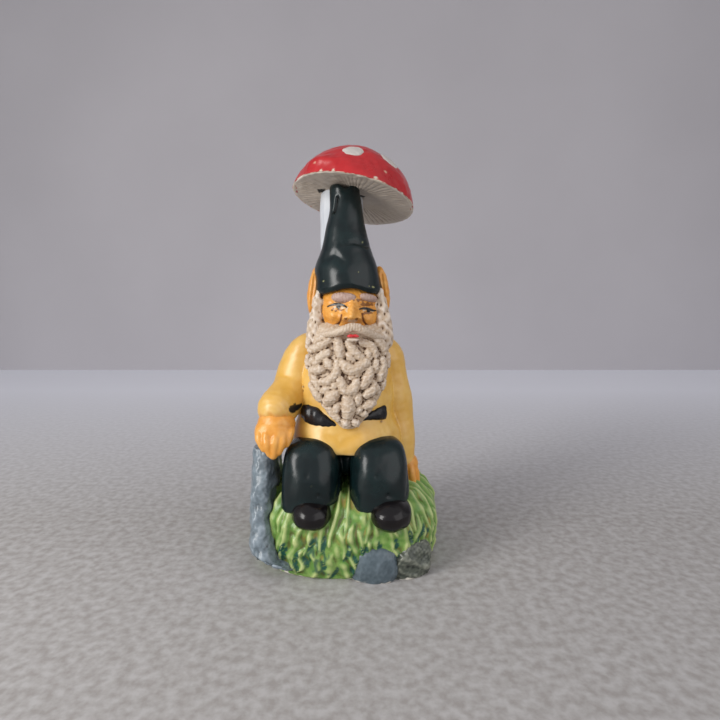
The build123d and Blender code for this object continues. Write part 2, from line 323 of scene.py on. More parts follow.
def addNode(tree, kind, inputs=(), **properties):
    # inputs pair an input's name or number with an output socket, a plain value or a hex colour
    node = tree.nodes.new(kind)
    for name, value in properties.items():
        setattr(node, name, value)
    for target, value in inputs:
        if isinstance(value, bpy.types.NodeSocket):
            tree.links.new(value, node.inputs[target])
        else:
            node.inputs[target].default_value = linear(value) if isinstance(value, str) else value
    return node


def newMaterial(name):  # an empty material, its nodes and the piece's own coordinates
    material = bpy.data.materials.new(name)
    material.use_nodes = True
    tree = material.node_tree
    tree.nodes.clear()
    return material, tree, addNode(tree, "ShaderNodeTexCoord").outputs["Object"]


def finishMaterial(tree, colour, layers, inputs):
    # each layer's colour is laid over those before it through its mask, and one shader takes the result
    for mask, top in layers:
        mix = addNode(tree, "ShaderNodeMix", [(0, mask), (6, colour), (7, top)], data_type="RGBA")
        colour = mix.outputs[2]
    shader = addNode(tree, "ShaderNodeBsdfPrincipled", [("Base Color", colour)] + inputs)
    addNode(tree, "ShaderNodeOutputMaterial", [("Surface", shader.outputs[0])])


def paintedPlaster(name, look):
    # hand-painted plaster: a base coat, a second coat that shows through in brush-wide patches, a dark
    # brown in the creases that is partly a thin wash and partly painted shade, a paler tone on the crests
    # that is painted highlight, painted marks, and fine brush ridges
    material, tree, place = newMaterial(name)
    patches = addNode(tree, "ShaderNodeTexNoise", [
        ("Vector", place), ("Scale", 1 / (look["patch"] * mm)), ("Detail", 4), ("Roughness", 0.6)])
    patch = patches.outputs["Fac"]
    amount = addNode(tree, "ShaderNodeMapRange", [(0, patch), (1, 0.42), (2, 0.66)])
    layers = [(amount.outputs[0], look["second"])]
    hollow = addNode(tree, "ShaderNodeAttribute", attribute_name="hollow").outputs["Fac"]
    # paler on the crests: painted highlight
    if look.get("crestHighlight"):
        crestHighlight = addNode(tree, "ShaderNodeMapRange", [(0, hollow), (1, 0.0), (2, -look["crestHighlightDepth"])])
        layers.append((crestHighlight.outputs[0], look["crestHighlight"]))
    # darker in the creases: partly a thin wash, partly painted shade
    if look.get("washAndShade"):
        # the dark in the creases, wash and painted shade alike, breaks up where the noise is weak,
        # as thin paint does
        depth = look["washAndShadeDepth"]
        film = addNode(tree, "ShaderNodeTexNoise", [
            ("Vector", place), ("Scale", 1 / (0.9 * mm)), ("Detail", 3)])
        broken = addNode(tree, "ShaderNodeMath", [
            (0, film.outputs["Fac"]), (1, depth * 1.2), (2, -depth * 0.6)], operation="MULTIPLY_ADD")
        deep = addNode(tree, "ShaderNodeMath", [(0, hollow), (1, broken.outputs[0])], operation="ADD")
        washAndShade = addNode(tree, "ShaderNodeMapRange", [
            (0, deep.outputs[0]), (1, depth * 0.35), (2, depth * 1.3)])
        layers.append((washAndShade.outputs[0], look["washAndShade"]))
    for label, hexColour in look["marks"]:
        mark = addNode(tree, "ShaderNodeAttribute", attribute_name=label).outputs["Fac"]
        layers.append((mark, hexColour))
    fine = addNode(tree, "ShaderNodeTexNoise", [
        ("Vector", place), ("Scale", 1 / (look["grain"] * mm)), ("Detail", 5)])
    relief = addNode(tree, "ShaderNodeBump", [
        ("Height", fine.outputs["Fac"]), ("Strength", look["bump"]), ("Distance", 0.06 * mm)])
    gloss = addNode(tree, "ShaderNodeMapRange", [
        (0, patch), (3, look["gloss"] * 0.8), (4, look["gloss"] * 1.3)])
    finishMaterial(tree, look["base"], layers, [
        ("Normal", relief.outputs[0]), ("Roughness", gloss.outputs[0]),
        ("IOR", look.get("ior", 1.5)), ("Specular IOR Level", look.get("specular", 0.5))])
    return material


# shared anchors, in millimetres

hips = inBox("trousers_seat", 0.5, 0, 1)
faceFoot = inBox("head", 0.5, 0, 0)
beardFoot = inBox("beard", 0.5, 0, 0)


def at(anchor, rows):  # stations given from an anchor; whatever follows x, y, z stays as it is
    rows = np.array(rows, float)
    rows[..., :3] += anchor
    return rows


def groove(points, paths, width, depth):
    # how deep to sink each point: the depth times a bell curve of its distance to the nearest path
    total = np.zeros(len(points))
    for path in paths:
        total = np.maximum(total, depth * np.exp(-(awayFrom(points, path) / width) ** 2))
    return total


def chiselled(points, seed, cuts, share):
    # planes at random turns cut the form back to a share of its reach in that direction
    rng = np.random.default_rng(seed)
    middle = (points.min(0) + points.max(0)) / 2
    moved = points - middle
    for way in unit(rng.normal(size=(cuts, 3))):
        reach = moved @ way
        over = np.maximum(reach - reach.max() * rng.uniform(share, 1.0), 0)
        moved = moved - over[:, None] * way
    return moved + middle


# paints: coats as hex colours, patch and grain in millimetres, depths in millimetres below or above the skin

# leaf-green enamel, shiny, with pale crests that are partly brushed paint and partly painted highlight,
# darker olive in the deepest grooves that is partly wash and partly painted shade, ochre hollows and
# dark blue-green dabs
grass = {
    "base": "5F8A3C", "second": "83A454", "patch": 3.5, "crestHighlight": "B9C683", "crestHighlightDepth": 0.34,
    "washAndShade": "55602A", "washAndShadeDepth": 0.2, "gloss": 0.3, "grain": 0.8, "bump": 0.3,
    "marks": (("ochre", "A5904A"), ("dab", "1D4F41"), ("chip", "D9D4C8")),
}
# slate-grey enamel with bright crests of painted highlight and dark hollows that are partly wash and
# partly painted shade, so the stone looks wet and rough
rock = {
    "base": "66727A", "second": "7C8992", "patch": 4.0, "crestHighlight": "95A1AB", "crestHighlightDepth": 0.25,
    "washAndShade": "3E454A", "washAndShadeDepth": 0.2, "gloss": 0.3, "grain": 0.9, "bump": 0.5,
    "marks": (("chip", "D9D4C8"),),
}
# a deeper blue-grey coat for the smooth stone, and a greenish one for the rough stone
darkStone = dict(rock, base="48555C", second="5A6870", crestHighlight="75838C")
roughStone = dict(rock, base="464C44", second="5C6156", crestHighlight="7D8074", washAndShade="2C302B", washAndShadeDepth=0.15)
# nearly black bottle-green enamel, smooth enough to mirror a window, with painted highlight on its
# crests and painted shade in its creases; boots and belt are its black cousins
darkGreen = {
    "base": "0A1618", "second": "0E2021", "patch": 6.0, "crestHighlight": "16292B", "crestHighlightDepth": 0.35,
    "washAndShade": "050909", "washAndShadeDepth": 0.3, "gloss": 0.24, "grain": 1.4, "bump": 0.1, "ior": 1.42,
    "marks": (("worn", "8A8A5E"),),
}
bootBlack = dict(darkGreen, base="0A0709", second="120E0D", crestHighlight="1B1516", gloss=0.2, marks=())
beltBlack = dict(darkGreen, base="0C0B0D", second="131215", crestHighlight="1C1B1D", gloss=0.25, marks=())
# warm yellow enamel with a broad sheen, painted highlight on the crests, and brown in the folds that
# is partly wash and partly painted shade
yellow = {
    "base": "DCAA46", "second": "E5BA5E", "patch": 9.0, "crestHighlight": "EFD099", "crestHighlightDepth": 0.5,
    "washAndShade": "8A5512", "washAndShadeDepth": 0.4, "gloss": 0.35, "grain": 1.0, "bump": 0.3, "specular": 0.8,
    "marks": (("splash", "121110"), ("pit", "5A2E18"), ("orange", "DB8E38")),
}
# orange-ochre enamel for skin, with painted eye whites, cream marks that are partly painted highlight,
# brown marks that are partly paint and partly painted shade, painted highlight on the crests, and
# black lines
ochreSkin = {
    "base": "DB9236", "second": "E6A54C", "patch": 4.0, "crestHighlight": "F0B868", "crestHighlightDepth": 0.35,
    "washAndShade": "8E4A12", "washAndShadeDepth": 0.3, "gloss": 0.3, "grain": 0.8, "bump": 0.3,
    "marks": (("cream", "D9C8AC"), ("brown", "5E2C0C"), ("ink", "0A0907")),
}
# satin cream paint with brown in every crease, partly a wash and partly painted shade, which makes
# the locks read, and painted highlight on the crests
cream = {
    "base": "BBA48A", "second": "C8B49C", "patch": 3.0, "crestHighlight": "DFD2C4", "crestHighlightDepth": 0.22,
    "washAndShade": "52300F", "washAndShadeDepth": 0.13, "gloss": 0.42, "grain": 0.5, "bump": 0.5,
    "marks": (("stroke", "8E6A50"),),
}
# the same paint, pinker and flatter
browPink = dict(cream, base="A98B7E", second="B79C90", crestHighlight="CBB3A9", washAndShade="8A6458", washAndShadeDepth=0.25,
                gloss=0.4)
# signal-red enamel, chipped to bare plaster along the rim
capRed = {
    "base": "AE181D", "second": "BA2226", "patch": 7.0, "gloss": 0.28, "grain": 1.2, "bump": 0.3,
    "marks": (("bare", "CFC3B0"), ("chip", "D9B89C")),
}
# dull cream paint with painted shade between the gills and on one side, and a painted shadow in the
# gap round the stem
gillCream = {
    "base": "B9AC9E", "second": "C4B8AA", "patch": 8.0, "crestHighlight": "D2C8BC", "crestHighlightDepth": 0.12,
    "washAndShade": "846B52", "washAndShadeDepth": 0.14, "gloss": 0.5, "grain": 0.8, "bump": 0.3,
    "marks": (("shade", "7D6A58"), ("dark", "17110D")),
}
# cool white enamel with painted highlight on its crests and painted shade in its hollows; the spots
# have a duller coat of it
stemWhite = {
    "base": "C6CBD2", "second": "D2D6DB", "patch": 6.0, "crestHighlight": "E0E3E7", "crestHighlightDepth": 0.2,
    "washAndShade": "A59C92", "washAndShadeDepth": 0.25, "gloss": 0.3, "grain": 1.0, "bump": 0.4, "marks": (),
}
spotWhite = dict(stemWhite, base="BEB8B2", second="C9C3BC", gloss=0.45, washAndShade="", crestHighlight="")
# bright red lip paint
lipRed = {"base": "CF2F36", "second": "DC4A4A", "patch": 1.5, "gloss": 0.3, "grain": 0.7, "bump": 0.25,
          "marks": ()}

paint = {
    name: paintedPlaster(name, look)
    for name, look in (
        ("grassEnamel", grass), ("rockEnamel", rock), ("darkStoneEnamel", darkStone),
        ("roughStoneEnamel", roughStone),
        ("darkGreenEnamel", darkGreen), ("bootBlackEnamel", bootBlack), ("beltBlackEnamel", beltBlack),
        ("yellowEnamel", yellow), ("ochreSkinEnamel", ochreSkin), ("washedCreamPaint", cream),
        ("browPinkPaint", browPink), ("capRedEnamel", capRed), ("gillCreamPaint", gillCream),
        ("stemWhiteEnamel", stemWhite), ("spotWhiteEnamel", spotWhite), ("lipRedEnamel", lipRed),
    )
}


# the grassy mound: a rounded square heap, drawn in towards the top, with raised blades

moundSize = {
    "levels": ((0, 0.9), (0.04, 0.92), (0.25, 0.95), (0.5, 0.97), (0.68, 0.94), (0.85, 0.85), (0.95, 0.74),
               (1.0, 0.6)),
    "squareness": 1.3,  # 1 is an ellipse
    "around": 460, "rows": 120,
    "bladeHeight": 1.05, "bladeWidth": 1.05,
    # where blades start and end, and the gap between them
    "tiers": ((29, 13, 5.0), (21, 6, 4.6), (13, 0.5, 4.3)),
    # middle x and height of the thinly brushed patch, and its half size
    "brushed": ((-9.5, 9.0), (4.2, 7.5)),
    "seed": 11,
}


def moundPiece():
    low, high = nodeBox("grass_mound")
    middle, half = (low + high) / 2, (high - low) / 2
    u = np.linspace(0, 2 * math.pi, moundSize["around"], endpoint=False)
    e = 1 / moundSize["squareness"]
    outline = np.stack([power(np.cos(u), e) * half[0], power(np.sin(u), e) * half[1]], -1)
    # points evenly spaced along the outline
    steps = np.linalg.norm(np.roll(outline, -1, 0) - outline, axis=1)
    along = np.concatenate([[0], np.cumsum(steps)])
    even = np.linspace(0, along[-1], moundSize["around"], endpoint=False)
    ring = np.concatenate([outline, outline[:1]])
    outline = np.stack([np.interp(even, along, ring[:, k]) for k in range(2)], -1)
    # the first rows climb the side, the last ones close in over the top
    side = smoothLine(moundSize["levels"], moundSize["rows"])
    top = np.stack([np.linspace(1.0, 1.02, 40), np.linspace(side[-1, 1], 0.02, 41)[1:]], -1)
    rows = np.concatenate([side, top])
    rings = np.concatenate([
        middle[:2] + outline[None] * rows[:, 1, None, None],
        np.repeat(low[2] + (high[2] - low[2]) * rows[:, 0, None, None], moundSize["around"], 1),
    ], -1)
    points, quads, tris = closedRings(rings)
    # s is the way round in millimetres from the middle of the front, z the height
    s = np.mod(np.tile(even, len(rows)) - along[-1] * 0.75 + along[-1] / 2, along[-1]) - along[-1] / 2
    s = np.concatenate([s, [0, 0]])
    z = points[:, 2]
    rng = np.random.default_rng(moundSize["seed"])
    height = np.zeros(len(points))
    dab = np.zeros(len(points))
    for tier, (start, end, gap) in enumerate(moundSize["tiers"]):
        count = int(along[-1] / gap)
        for index in range(count):
            foot = (index + rng.uniform(0.1, 0.9)) * along[-1] / count - along[-1] / 2
            fan = np.clip(foot / 14, -1, 1) if abs(foot) < 26 else rng.normal() * 0.6
            lean = fan * 2.6 + rng.normal() * 2.2
            topZ, lowZ = start + rng.uniform(-2.5, 2.5), end + rng.uniform(-2, 3)
            t = np.clip((topZ - z) / (topZ - lowZ), 0, 1)
            sway = rng.uniform(-1.5, 1.5) * np.sin(t * math.pi * rng.uniform(1.2, 2.4))
            offset = np.mod(s - foot - lean * (t - 0.5) - sway + along[-1] / 2, along[-1]) - along[-1] / 2
            width = moundSize["bladeWidth"] * (0.55 + 0.9 * np.sin(math.pi * np.clip(t, 0, 1)) ** 0.7)
            ends = bump(z, lowZ - 1.2, lowZ + 1.5) * bump(-z, -topZ - 1.2, -topZ + 1.5)
            width = width * rng.uniform(0.6, 1.25)
            blade = np.exp(-(offset / width) ** 2) * ends * rng.uniform(0.55, 1.1)
            height = np.maximum(height, blade)
            if tier > 0 and rng.uniform() < 0.95:
                dabZ = lowZ + (topZ - lowZ) * rng.uniform(0.2, 0.6)
                away = ((offset - width * 1.35) / 0.95) ** 2 + ((z - dabZ) / rng.uniform(1.5, 3.2)) ** 2
                dab = np.maximum(dab, 1 - bump(away, 0.7, 1.25))
    edge = bump(z, 0.0, 1.4)
    lump = 0.5 * unevenness(points, 14, 3) + 0.28 * unevenness(points, 4, 4)
    points = pushed(points, quads, tris, (height * moundSize["bladeHeight"] + lump) * edge)
    hollow = hollowness(points, quads, tris)
    ochre = bump(unevenness(points, 9, 5), 0.2, 1.2) * bump(hollow, 0.02, 0.14) * 0.8
    brushed = dab * bump(unevenness(points, 0.9, 6), -1.2, -0.2)
    # one broad patch where the dark green was brushed on thinly
    (midX, midZ), (halfX, halfZ) = moundSize["brushed"]
    thin = np.hypot((points[:, 0] - midX) / halfX, (z - midZ) / halfZ) + 0.3 * unevenness(points, 4, 10)
    streaks = bump(unevenness(points * np.array([1, 1, 0.35]), 1.1, 12), -0.5, 0.6)
    brushed = np.maximum(brushed, (1 - bump(thin, 0.7, 1.1)) * streaks * 0.8 * (points[:, 1] < middle[1]))
    chip = (1 - bump(z + 0.35 * unevenness(points, 2.5, 8), 0.1, 0.55)) \
        * bump(unevenness(points, 6, 9), 0.0, 0.5)
    makePiece("grassMound", (points, quads, tris), ["grass_mound"], "grass_green", paint["grassEnamel"],
              hollow=hollow, ochre=ochre, dab=brushed, chip=chip)


moundPiece()


# the stones

stones = {
    "sideRock": {
        # height, middle x, middle y, radius x, radius y, from the middle of the rock's underside
        "levels": ((0, 3.8, -5.0, 10.6, 24.0), (3.0, 1.8, -4.4, 9.2, 23.4), (7.0, -2.0, -2.6, 5.9, 20.2),
                   (20, -3.5, -1.0, 4.5, 16.6),
                   (32, -3.2, 0.2, 4.5, 13.8), (42, -2.9, 1.4, 4.3, 11.4), (45.0, -2.8, 1.8, 2.8, 8)),
        "squareness": 1.5, "node": "side_rock", "paint": "rockEnamel",
        "cuts": 46, "share": 0.8, "seed": 4, "coarse": 0.3, "fine": 0.08,
    },
    "frontStone": {
        "radii": (9.2, 8.0, 8.8), "tilt": (0, 10, -6), "node": "front_stone", "paint": "darkStoneEnamel",
        "cuts": 10, "share": 0.93, "seed": 21, "coarse": 0.15, "fine": 0.03,
    },
    "cornerStone": {
        "radii": (10.2, 13.0, 9.6), "tilt": (0, 0, 20), "node": "corner_stone", "paint": "roughStoneEnamel",
        "cuts": 30, "share": 0.85, "seed": 27, "coarse": 0.35, "fine": 0.1,
    },
}


def finishStone(name, shape):
    look = stones[name]
    seed = look["seed"]
    points, quads, tris = shape
    points = chiselled(points, seed, look["cuts"], look["share"])
    relief = look["coarse"] * unevenness(points, 5, seed + 1) \
        + look["fine"] * unevenness(points, 1.3, seed + 2)
    points = pushed(points, quads, tris, relief)
    points[:, 2] = np.maximum(points[:, 2], 0.0)
    chip = (1 - bump(points[:, 2] + 0.3 * unevenness(points, 2.5, seed + 3), 0.1, 0.6)) \
        * bump(unevenness(points, 6, seed + 4), 0.3, 0.8)
    makePiece(name, (points, quads, tris), [look["node"]], "rock_grey", paint[look["paint"]], chip=chip)


def stonePieces():
    look = stones["sideRock"]
    levels = levelsFrom(inBox("side_rock", 0.5, 0.5, 0), look["levels"])
    finishStone("sideRock", stack(levels, 150, 240, look["squareness"]))
    for name in ("frontStone", "cornerStone"):
        look = stones[name]
        low, high = nodeBox(look["node"])
        centre = ((low[0] + high[0]) / 2, (low[1] + high[1]) / 2, high[2] - look["radii"][2])
        finishStone(name, ball(centre, look["radii"], look["tilt"], 1.2, 110, 170))


stonePieces()


# boots

boots = {"radii": (6.8, 9.0, 5.3), "squareness": 1.12, "toeWiden": 0.08}


def bootPieces():
    for side, node in ((-1, "right_boot"), (1, "left_boot")):
        low, high = nodeBox(node)
        centre = (low + high) / 2 + np.array([0, 0.6, 1.3])
        radii = np.array(boots["radii"]) * (1.0 if side < 0 else 1.05)
        points, quads, tris = ball((0, 0, 0), radii, (0, 0, 0), boots["squareness"], 90, 130)
        share = points / radii
        # narrower and lower at the heel end
        points[:, 0] *= 1 - boots["toeWiden"] * bump(share[:, 1], -0.6, 0.9)
        points[:, 2] *= 1 - 0.12 * bump(-share[:, 1], 0.2, 1.0) * (share[:, 2] > 0)
        points = pushed(points, quads, tris, 0.12 * unevenness(points, 5, 31 + side))
        points = points @ turning((0, 0, side * -3)).T + centre
        name = "rightBoot" if side < 0 else "leftBoot"
        makePiece(name, (points, quads, tris), [node], "boot_black", paint["bootBlackEnamel"])


bootPieces()


# trousers: two bell-shaped legs and the seat, made one skin

trousers = {
    # height, middle x, middle y, radius x, radius y; x and y from the middle of the leg, height from the hem
    "bell": ((-1.2, 0, 0.5, 8.6, 8.4), (-0.4, 0, 0.2, 10.2, 10.3), (1.5, 0, 0, 10.5, 10.8),
             (6, 0, 0.2, 10.3, 10.6),
             (11, 0, 0.7, 9.9, 9.9), (15, 0, 1.3, 9.0, 8.9), (17.6, 0, 1.9, 7.6, 7.3),
             (19.3, 0, 2.4, 5.0, 4.6), (20.0, 0, 2.5, 1.6, 1.4)),
    "squareness": 1.2,
    "hemSlope": -0.16,  # how much lower the hem is on its right-hand side, per millimetre
    "voxel": 0.42,
    # folds, from the middle of the leg at the hem: each is a line that sinks in
    "folds": (((-9, -4, 2), (-9.5, -3, 8), (-8.6, -2, 14)), ((6.5, -7.5, 1.5), (3.0, -10, 3.0)),
              ((3.5, -9, 15), (-0.5, -10.4, 12.5), (-1.0, -10.4, 9.5)), ((8.5, -6, 2), (9.8, -2, 8))),
}


def trousersPiece():
    legs = []
    places = []
    for side, node in ((-1, "right_leg"), (1, "left_leg")):
        low, high = nodeBox(node)
        centre = np.array([(low[0] + high[0]) / 2 + (-0.6 if side < 0 else 0.2), low[1] + 10.4, low[2] + 1.0])
        places.append(centre)
        points, quads, tris = stack(levelsFrom(centre, trousers["bell"]), 60, 90, trousers["squareness"])
        nearHem = 1 - bump(points[:, 2] - centre[2], 0, 9)
        points[:, 2] += (points[:, 0] - centre[0]) * -trousers["hemSlope"] * nearHem * 1.2 - 2.4 * nearHem
        legs.append((points, quads, tris))
        thigh = at((centre[0], 0, hips[2]), [
            (0, -15, -9.8, 9.6), (-side * 0.8, -6, -9.9, 9.6), (-side * 2, 2, -10.5, 9.2)])
        legs.append(tube(thigh, 16, 60))
    seatLow, seatHigh = nodeBox("trousers_seat")
    legs.append(ball(hips + [2.6, -1.2, -9.4], (7.4, 10.2, 6.2), (0, 0, 0), 1.15, 40, 60))
    legs.append(ball((seatLow + seatHigh) / 2 + [0, -1, 0], (19.5, 12, 9.5), (0, 0, 0), 1.3, 40, 80))
    points, quads, tris = fused(legs, trousers["voxel"], 3)
    sink = np.zeros(len(points))
    for centre in places:
        sink = np.maximum(sink, groove(points, [np.array(f) + centre for f in trousers["folds"]], 0.9, 0.55))
    relief = 0.2 * unevenness(points, 10, 41) + 0.012 * unevenness(points, 2.5, 42)
    points = pushed(points, quads, tris, relief - sink)
    hollow = hollowness(points, quads, tris)
    worn = bump(unevenness(points, 1.2, 43), 2.1, 2.3) * bump(-hollow, 0.0, 0.05) * 0.7
    makePiece("trousers", (points, quads, tris), ["right_leg", "left_leg", "trousers_seat"], "trouser_green",
              paint["darkGreenEnamel"], hollow=hollow, worn=worn)


trousersPiece()


# tunic: trunk, skirt and both sleeves, made one skin

tunic = {
    # height, middle x, middle y, radius x, radius y; heights from the hips
    "trunk": ((-5.2, 0, 4.3, 19.4, 17.6), (-4.6, 0, 4.4, 20.4, 18.9), (0, 0, 4.5, 20.2, 19.1),
              (5, 0, 4.5, 18.5, 17.5),
              (9, 0, 4.5, 17.5, 16.5), (14, 0, 4.5, 17.7, 16.4), (22, 0, 5, 17.1, 15.4),
              (29, 0, 5.5, 15.4, 13.5),
              (34, 0.2, 5.2, 12.6, 10.8), (38, 0.5, 5, 9.0, 8.5), (41.5, 1, 5, 6.0, 6.0)),
    # sleeve stations x, y, z, radius from the hips
    "rightSleeve": ((-8, 6, 29.5, 6.6), (-13.9, 5.8, 27.0, 8.3), (-17.9, 4.6, 20.8, 8.0),
                    (-19.8, 2.0, 15.6, 7.6),
                    (-22.3, -3.0, 12.2, 7.1), (-23.9, -8.4, 10.4, 6.7)),
    "leftSleeve": ((8, 6, 29.5, 6.2), (12.8, 6.2, 27.2, 7.4), (15.4, 6.4, 20.8, 7.1), (17.2, 6.3, 13, 6.8),
                   (19.0, 5.2, 3, 6.1), (20.4, 3.6, -5, 5.3), (20.9, 2.6, -10.6, 4.7)),
    "voxel": 0.42,
    "grooves": (((-15.9, -11.5, 19.4), (-14.8, -12.6, 16), (-13.2, -14.2, 12.2), (-12.6, -14.4, 9.8)),
                ((14.2, -9.5, 22.0), (12.9, -11.6, 15.5), (13.2, -11.4, 11.8), (15.0, -10.0, 3.0))),
    "folds": (((-24, -6, 22), (-20.5, -8, 19.5), (-16.8, -10, 19)),
              ((-9, -14, 3.2), (-2, -16, -0.8), (4, -15.6, 1.8)),
              ((18.4, -6, 1.0), (23.6, -4.6, -1.2)), ((17.9, -5, 24), (19.8, -2, 17))),
    # x and height of the pinholes
    "pits": ((20.2, 19.1), (-14.6, 17.2), (12.6, 5.6), (-14.9, 15.8), (23.5, 8.6)),
    # belt paint splashed beside the right-hand fold: ovals, each as x and height of its middle, half width,
    # half height, how uneven its edge is and over what size
    "splash": ((-17.4, 10.6, 1.7, 1.5, 0.26, 2.0), (-14.9, 8.0, 1.0, 1.9, 0.22, 1.8)),
    "cuff": (8.5, 8.0, 8.0),  # how far from the middle of the right hand its paint strays onto the sleeve
}


def tunicPiece():
    shapes = [stack(levelsFrom(hips, tunic["trunk"]), 90, 120, 1.08)]
    for name in ("rightSleeve", "leftSleeve"):
        shapes.append(tube(at(hips, tunic[name]), 40, 60))
    points, quads, tris = fused(shapes, tunic["voxel"], 3)
    front = points[:, 1] < hips[1]
    sink = groove(points, [np.array(g) + hips for g in tunic["grooves"]], 1.0, 1.3)
    sink = np.maximum(sink, groove(points, [np.array(g) + hips for g in tunic["folds"]], 1.6, 0.7))
    across = points[:, 0] - hips[0]
    relief = 0.35 * unevenness(points, 12, 51) + 0.04 * unevenness(points, 3.0, 52)
    # the pinholes are sunk, and painted dark brown inside as painted shade
    pit = np.zeros(len(points))
    for x, z in tunic["pits"]:
        away = np.hypot(across - x, points[:, 2] - hips[2] - z)
        pit = np.maximum(pit, np.exp(-(away / 0.42) ** 2) * front)
    points = pushed(points, quads, tris, relief - sink - 0.35 * pit)
    splash = np.zeros(len(points))
    for seed, (midX, midZ, halfX, halfZ, rough, size) in enumerate(tunic["splash"], 53):
        away = np.hypot((across - midX) / halfX, (points[:, 2] - hips[2] - midZ) / halfZ)
        away = away + rough * unevenness(points, size, seed)
        splash = np.maximum(splash, (1 - bump(away, 0.85, 1.0)) * front)
    hand = inBox("right_hand", 0.5, 0.6, 0.7)
    nearHand = np.linalg.norm((points - hand) / np.array(tunic["cuff"]), axis=1) \
        + 0.12 * unevenness(points, 2.5, 55)
    orange = (1 - bump(nearHand, 0.75, 1.25)) * 0.9
    makePiece("tunic", (points, quads, tris), ["tunic_body", "tunic_skirt", "right_sleeve", "left_sleeve"],
              "tunic_yellow", paint["yellowEnamel"], splash=splash, pit=pit * 0.9, orange=orange)


tunicPiece()


# belt: a strap round the waist that swells into two pods in front

belt = {
    "around": 420, "section": 28,
    "middle": (0.0, 4.5), "radii": (17.6, 16.6),  # from the hips
    "height": 8.6,
    # turn in degrees from straight ahead (the gnome's right is negative), rise of the middle, half height
    # and thickness
    "course": ((-180, 0, 2.7, 1.2), (-110, 0, 2.7, 1.2), (-78, 0.2, 2.5, 0.3), (-62, 0.4, 2.2, 0.3),
               (-56, -0.6, 2.9, 1.8),
               (-46, -0.9, 3.7, 2.5), (-32, -1.6, 3.4, 2.3), (-18, -3.0, 1.9, 1.5), (-8, -3.8, 0.8, 0.5),
               (8, -1.2, 0.4, 0.3), (16, -1.6, 0.7, 0.8), (30, -0.6, 1.7, 1.5), (42, -0.4, 2.5, 1.8),
               (50, -0.4, 2.8, 1.5),
               (54, 0.6, 1.2, 0.3), (70, 0.0, 0.8, 0.1), (110, 0, 2.7, 1.2), (180, 0, 2.7, 1.2)),
}


def beltPiece():
    course = np.array(belt["course"], float)
    turn = np.linspace(-180, 180, belt["around"], endpoint=False)
    rise, halfHeight, thickness = (np.interp(turn, course[:, 0], course[:, k]) for k in (1, 2, 3))
    radians = np.radians(turn)
    outX, outY = np.sin(radians), -np.cos(radians)
    v = np.linspace(0, 2 * math.pi, belt["section"], endpoint=False)
    out = thickness[:, None] * np.cos(v)[None]
    up = halfHeight[:, None] * power(np.sin(v), 0.8)[None] + rise[:, None]
    x = hips[0] + belt["middle"][0] + outX[:, None] * (belt["radii"][0] + out)
    y = hips[1] + belt["middle"][1] + outY[:, None] * (belt["radii"][1] + out)
    z = hips[2] + belt["height"] + up
    points = np.stack([x, y, z], -1).reshape(-1, 3)
    grid = np.arange(len(points)).reshape(belt["around"], belt["section"])
    ahead, side = np.roll(grid, -1, 0), np.roll(grid, -1, 1)
    quads = np.stack([grid, ahead, np.roll(ahead, -1, 1), side], -1).reshape(-1, 4)
    points, quads, tris = outward(points, quads, np.zeros((0, 3), int))
    points = pushed(points, quads, tris, 0.1 * unevenness(points, 2.5, 61))
    makePiece("belt", (points, quads, tris), ["belt"], "belt_black", paint["beltBlackEnamel"])


beltPiece()


# hands

hands = {
    # right hand, from the middle top of the rock's hand: palm balls and fingers as x, y, z, radius stations
    "palm": (((0.4, 1.4, 4.0), (6.6, 5.8, 5.6)), ((0.4, -0.7, 0.6), (6.0, 5.2, 5.6)),
             ((-1.0, 0.0, 2.0), (5.9, 5.2, 5.2))),
    "fingers": (((-4.6, -1.4, 3.4, 1.6), (-4.4, -3.9, 0.4, 1.7), (-2.9, -4.8, -2.9, 1.3)),
                ((-2.2, -2.8, 3.2, 1.7), (-1.8, -5.1, -0.6, 1.8), (-0.9, -5.4, -4.4, 1.3)),
                ((0.7, -3.0, 3.0, 1.7), (0.8, -5.2, -0.8, 1.8), (0.2, -5.4, -5.2, 1.4)),
                ((3.4, -2.2, 2.8, 1.6), (3.2, -4.5, -0.4, 1.7), (1.8, -5.0, -3.9, 1.3)),
                ((5.6, 0.0, 3.0, 1.5), (5.4, -2.6, 1.0, 1.5), (4.3, -3.8, -1.6, 1.2))),
    # fingers of the left hand: x and y of the knuckle, depth of the tip, radius
    "leftFingers": ((-1.9, -2.8, -9.0, 1.35), (0.4, -3.0, -10.2, 1.5), (1.9, -1.0, -10.0, 1.5),
                    (1.9, 1.8, -9.4, 1.4)),
    "voxel": 0.3,
}


def handPieces():
    low, high = nodeBox("right_hand")
    anchor = np.array([(low[0] + high[0]) / 2, (low[1] + high[1]) / 2 + 1.0, high[2] - 4.2])
    shapes = [ball(np.array(c) + anchor, r, (0, 0, 0), 1.0, 40, 60) for c, r in hands["palm"]]
    shapes += [tube(at(anchor, f), 24, 24) for f in hands["fingers"]]
    finishHand("rightHand", shapes, "right_hand", 71)
    low, high = nodeBox("left_hand")
    anchor = np.array([(low[0] + high[0]) / 2, (low[1] + high[1]) / 2, high[2]])
    shapes = [ball(anchor + [-0.6, 0.6, -3.4], (3.7, 4.2, 4.4), (0, 0, 0), 1.0, 40, 60)]
    for x, y, reach, radius in hands["leftFingers"]:
        finger = [(x * 0.6, y * 0.7, -3.5, radius), (x, y, -6.2, radius * 1.05),
                  (x + 0.9, y, reach, radius * 0.7)]
        shapes.append(tube(at(anchor, finger), 20, 24))
    finishHand("leftHand", shapes, "left_hand", 74)


def finishHand(name, shapes, node, seed):
    points, quads, tris = fused(shapes, hands["voxel"], 9)
    relief = 0.1 * unevenness(points, 4, seed) + 0.015 * unevenness(points, 1.1, seed + 1)
    points = pushed(points, quads, tris, relief)
    makePiece(name, (points, quads, tris), [node], "skin_ochre", paint["ochreSkinEnamel"])


handPieces()


# face and nose, one skin

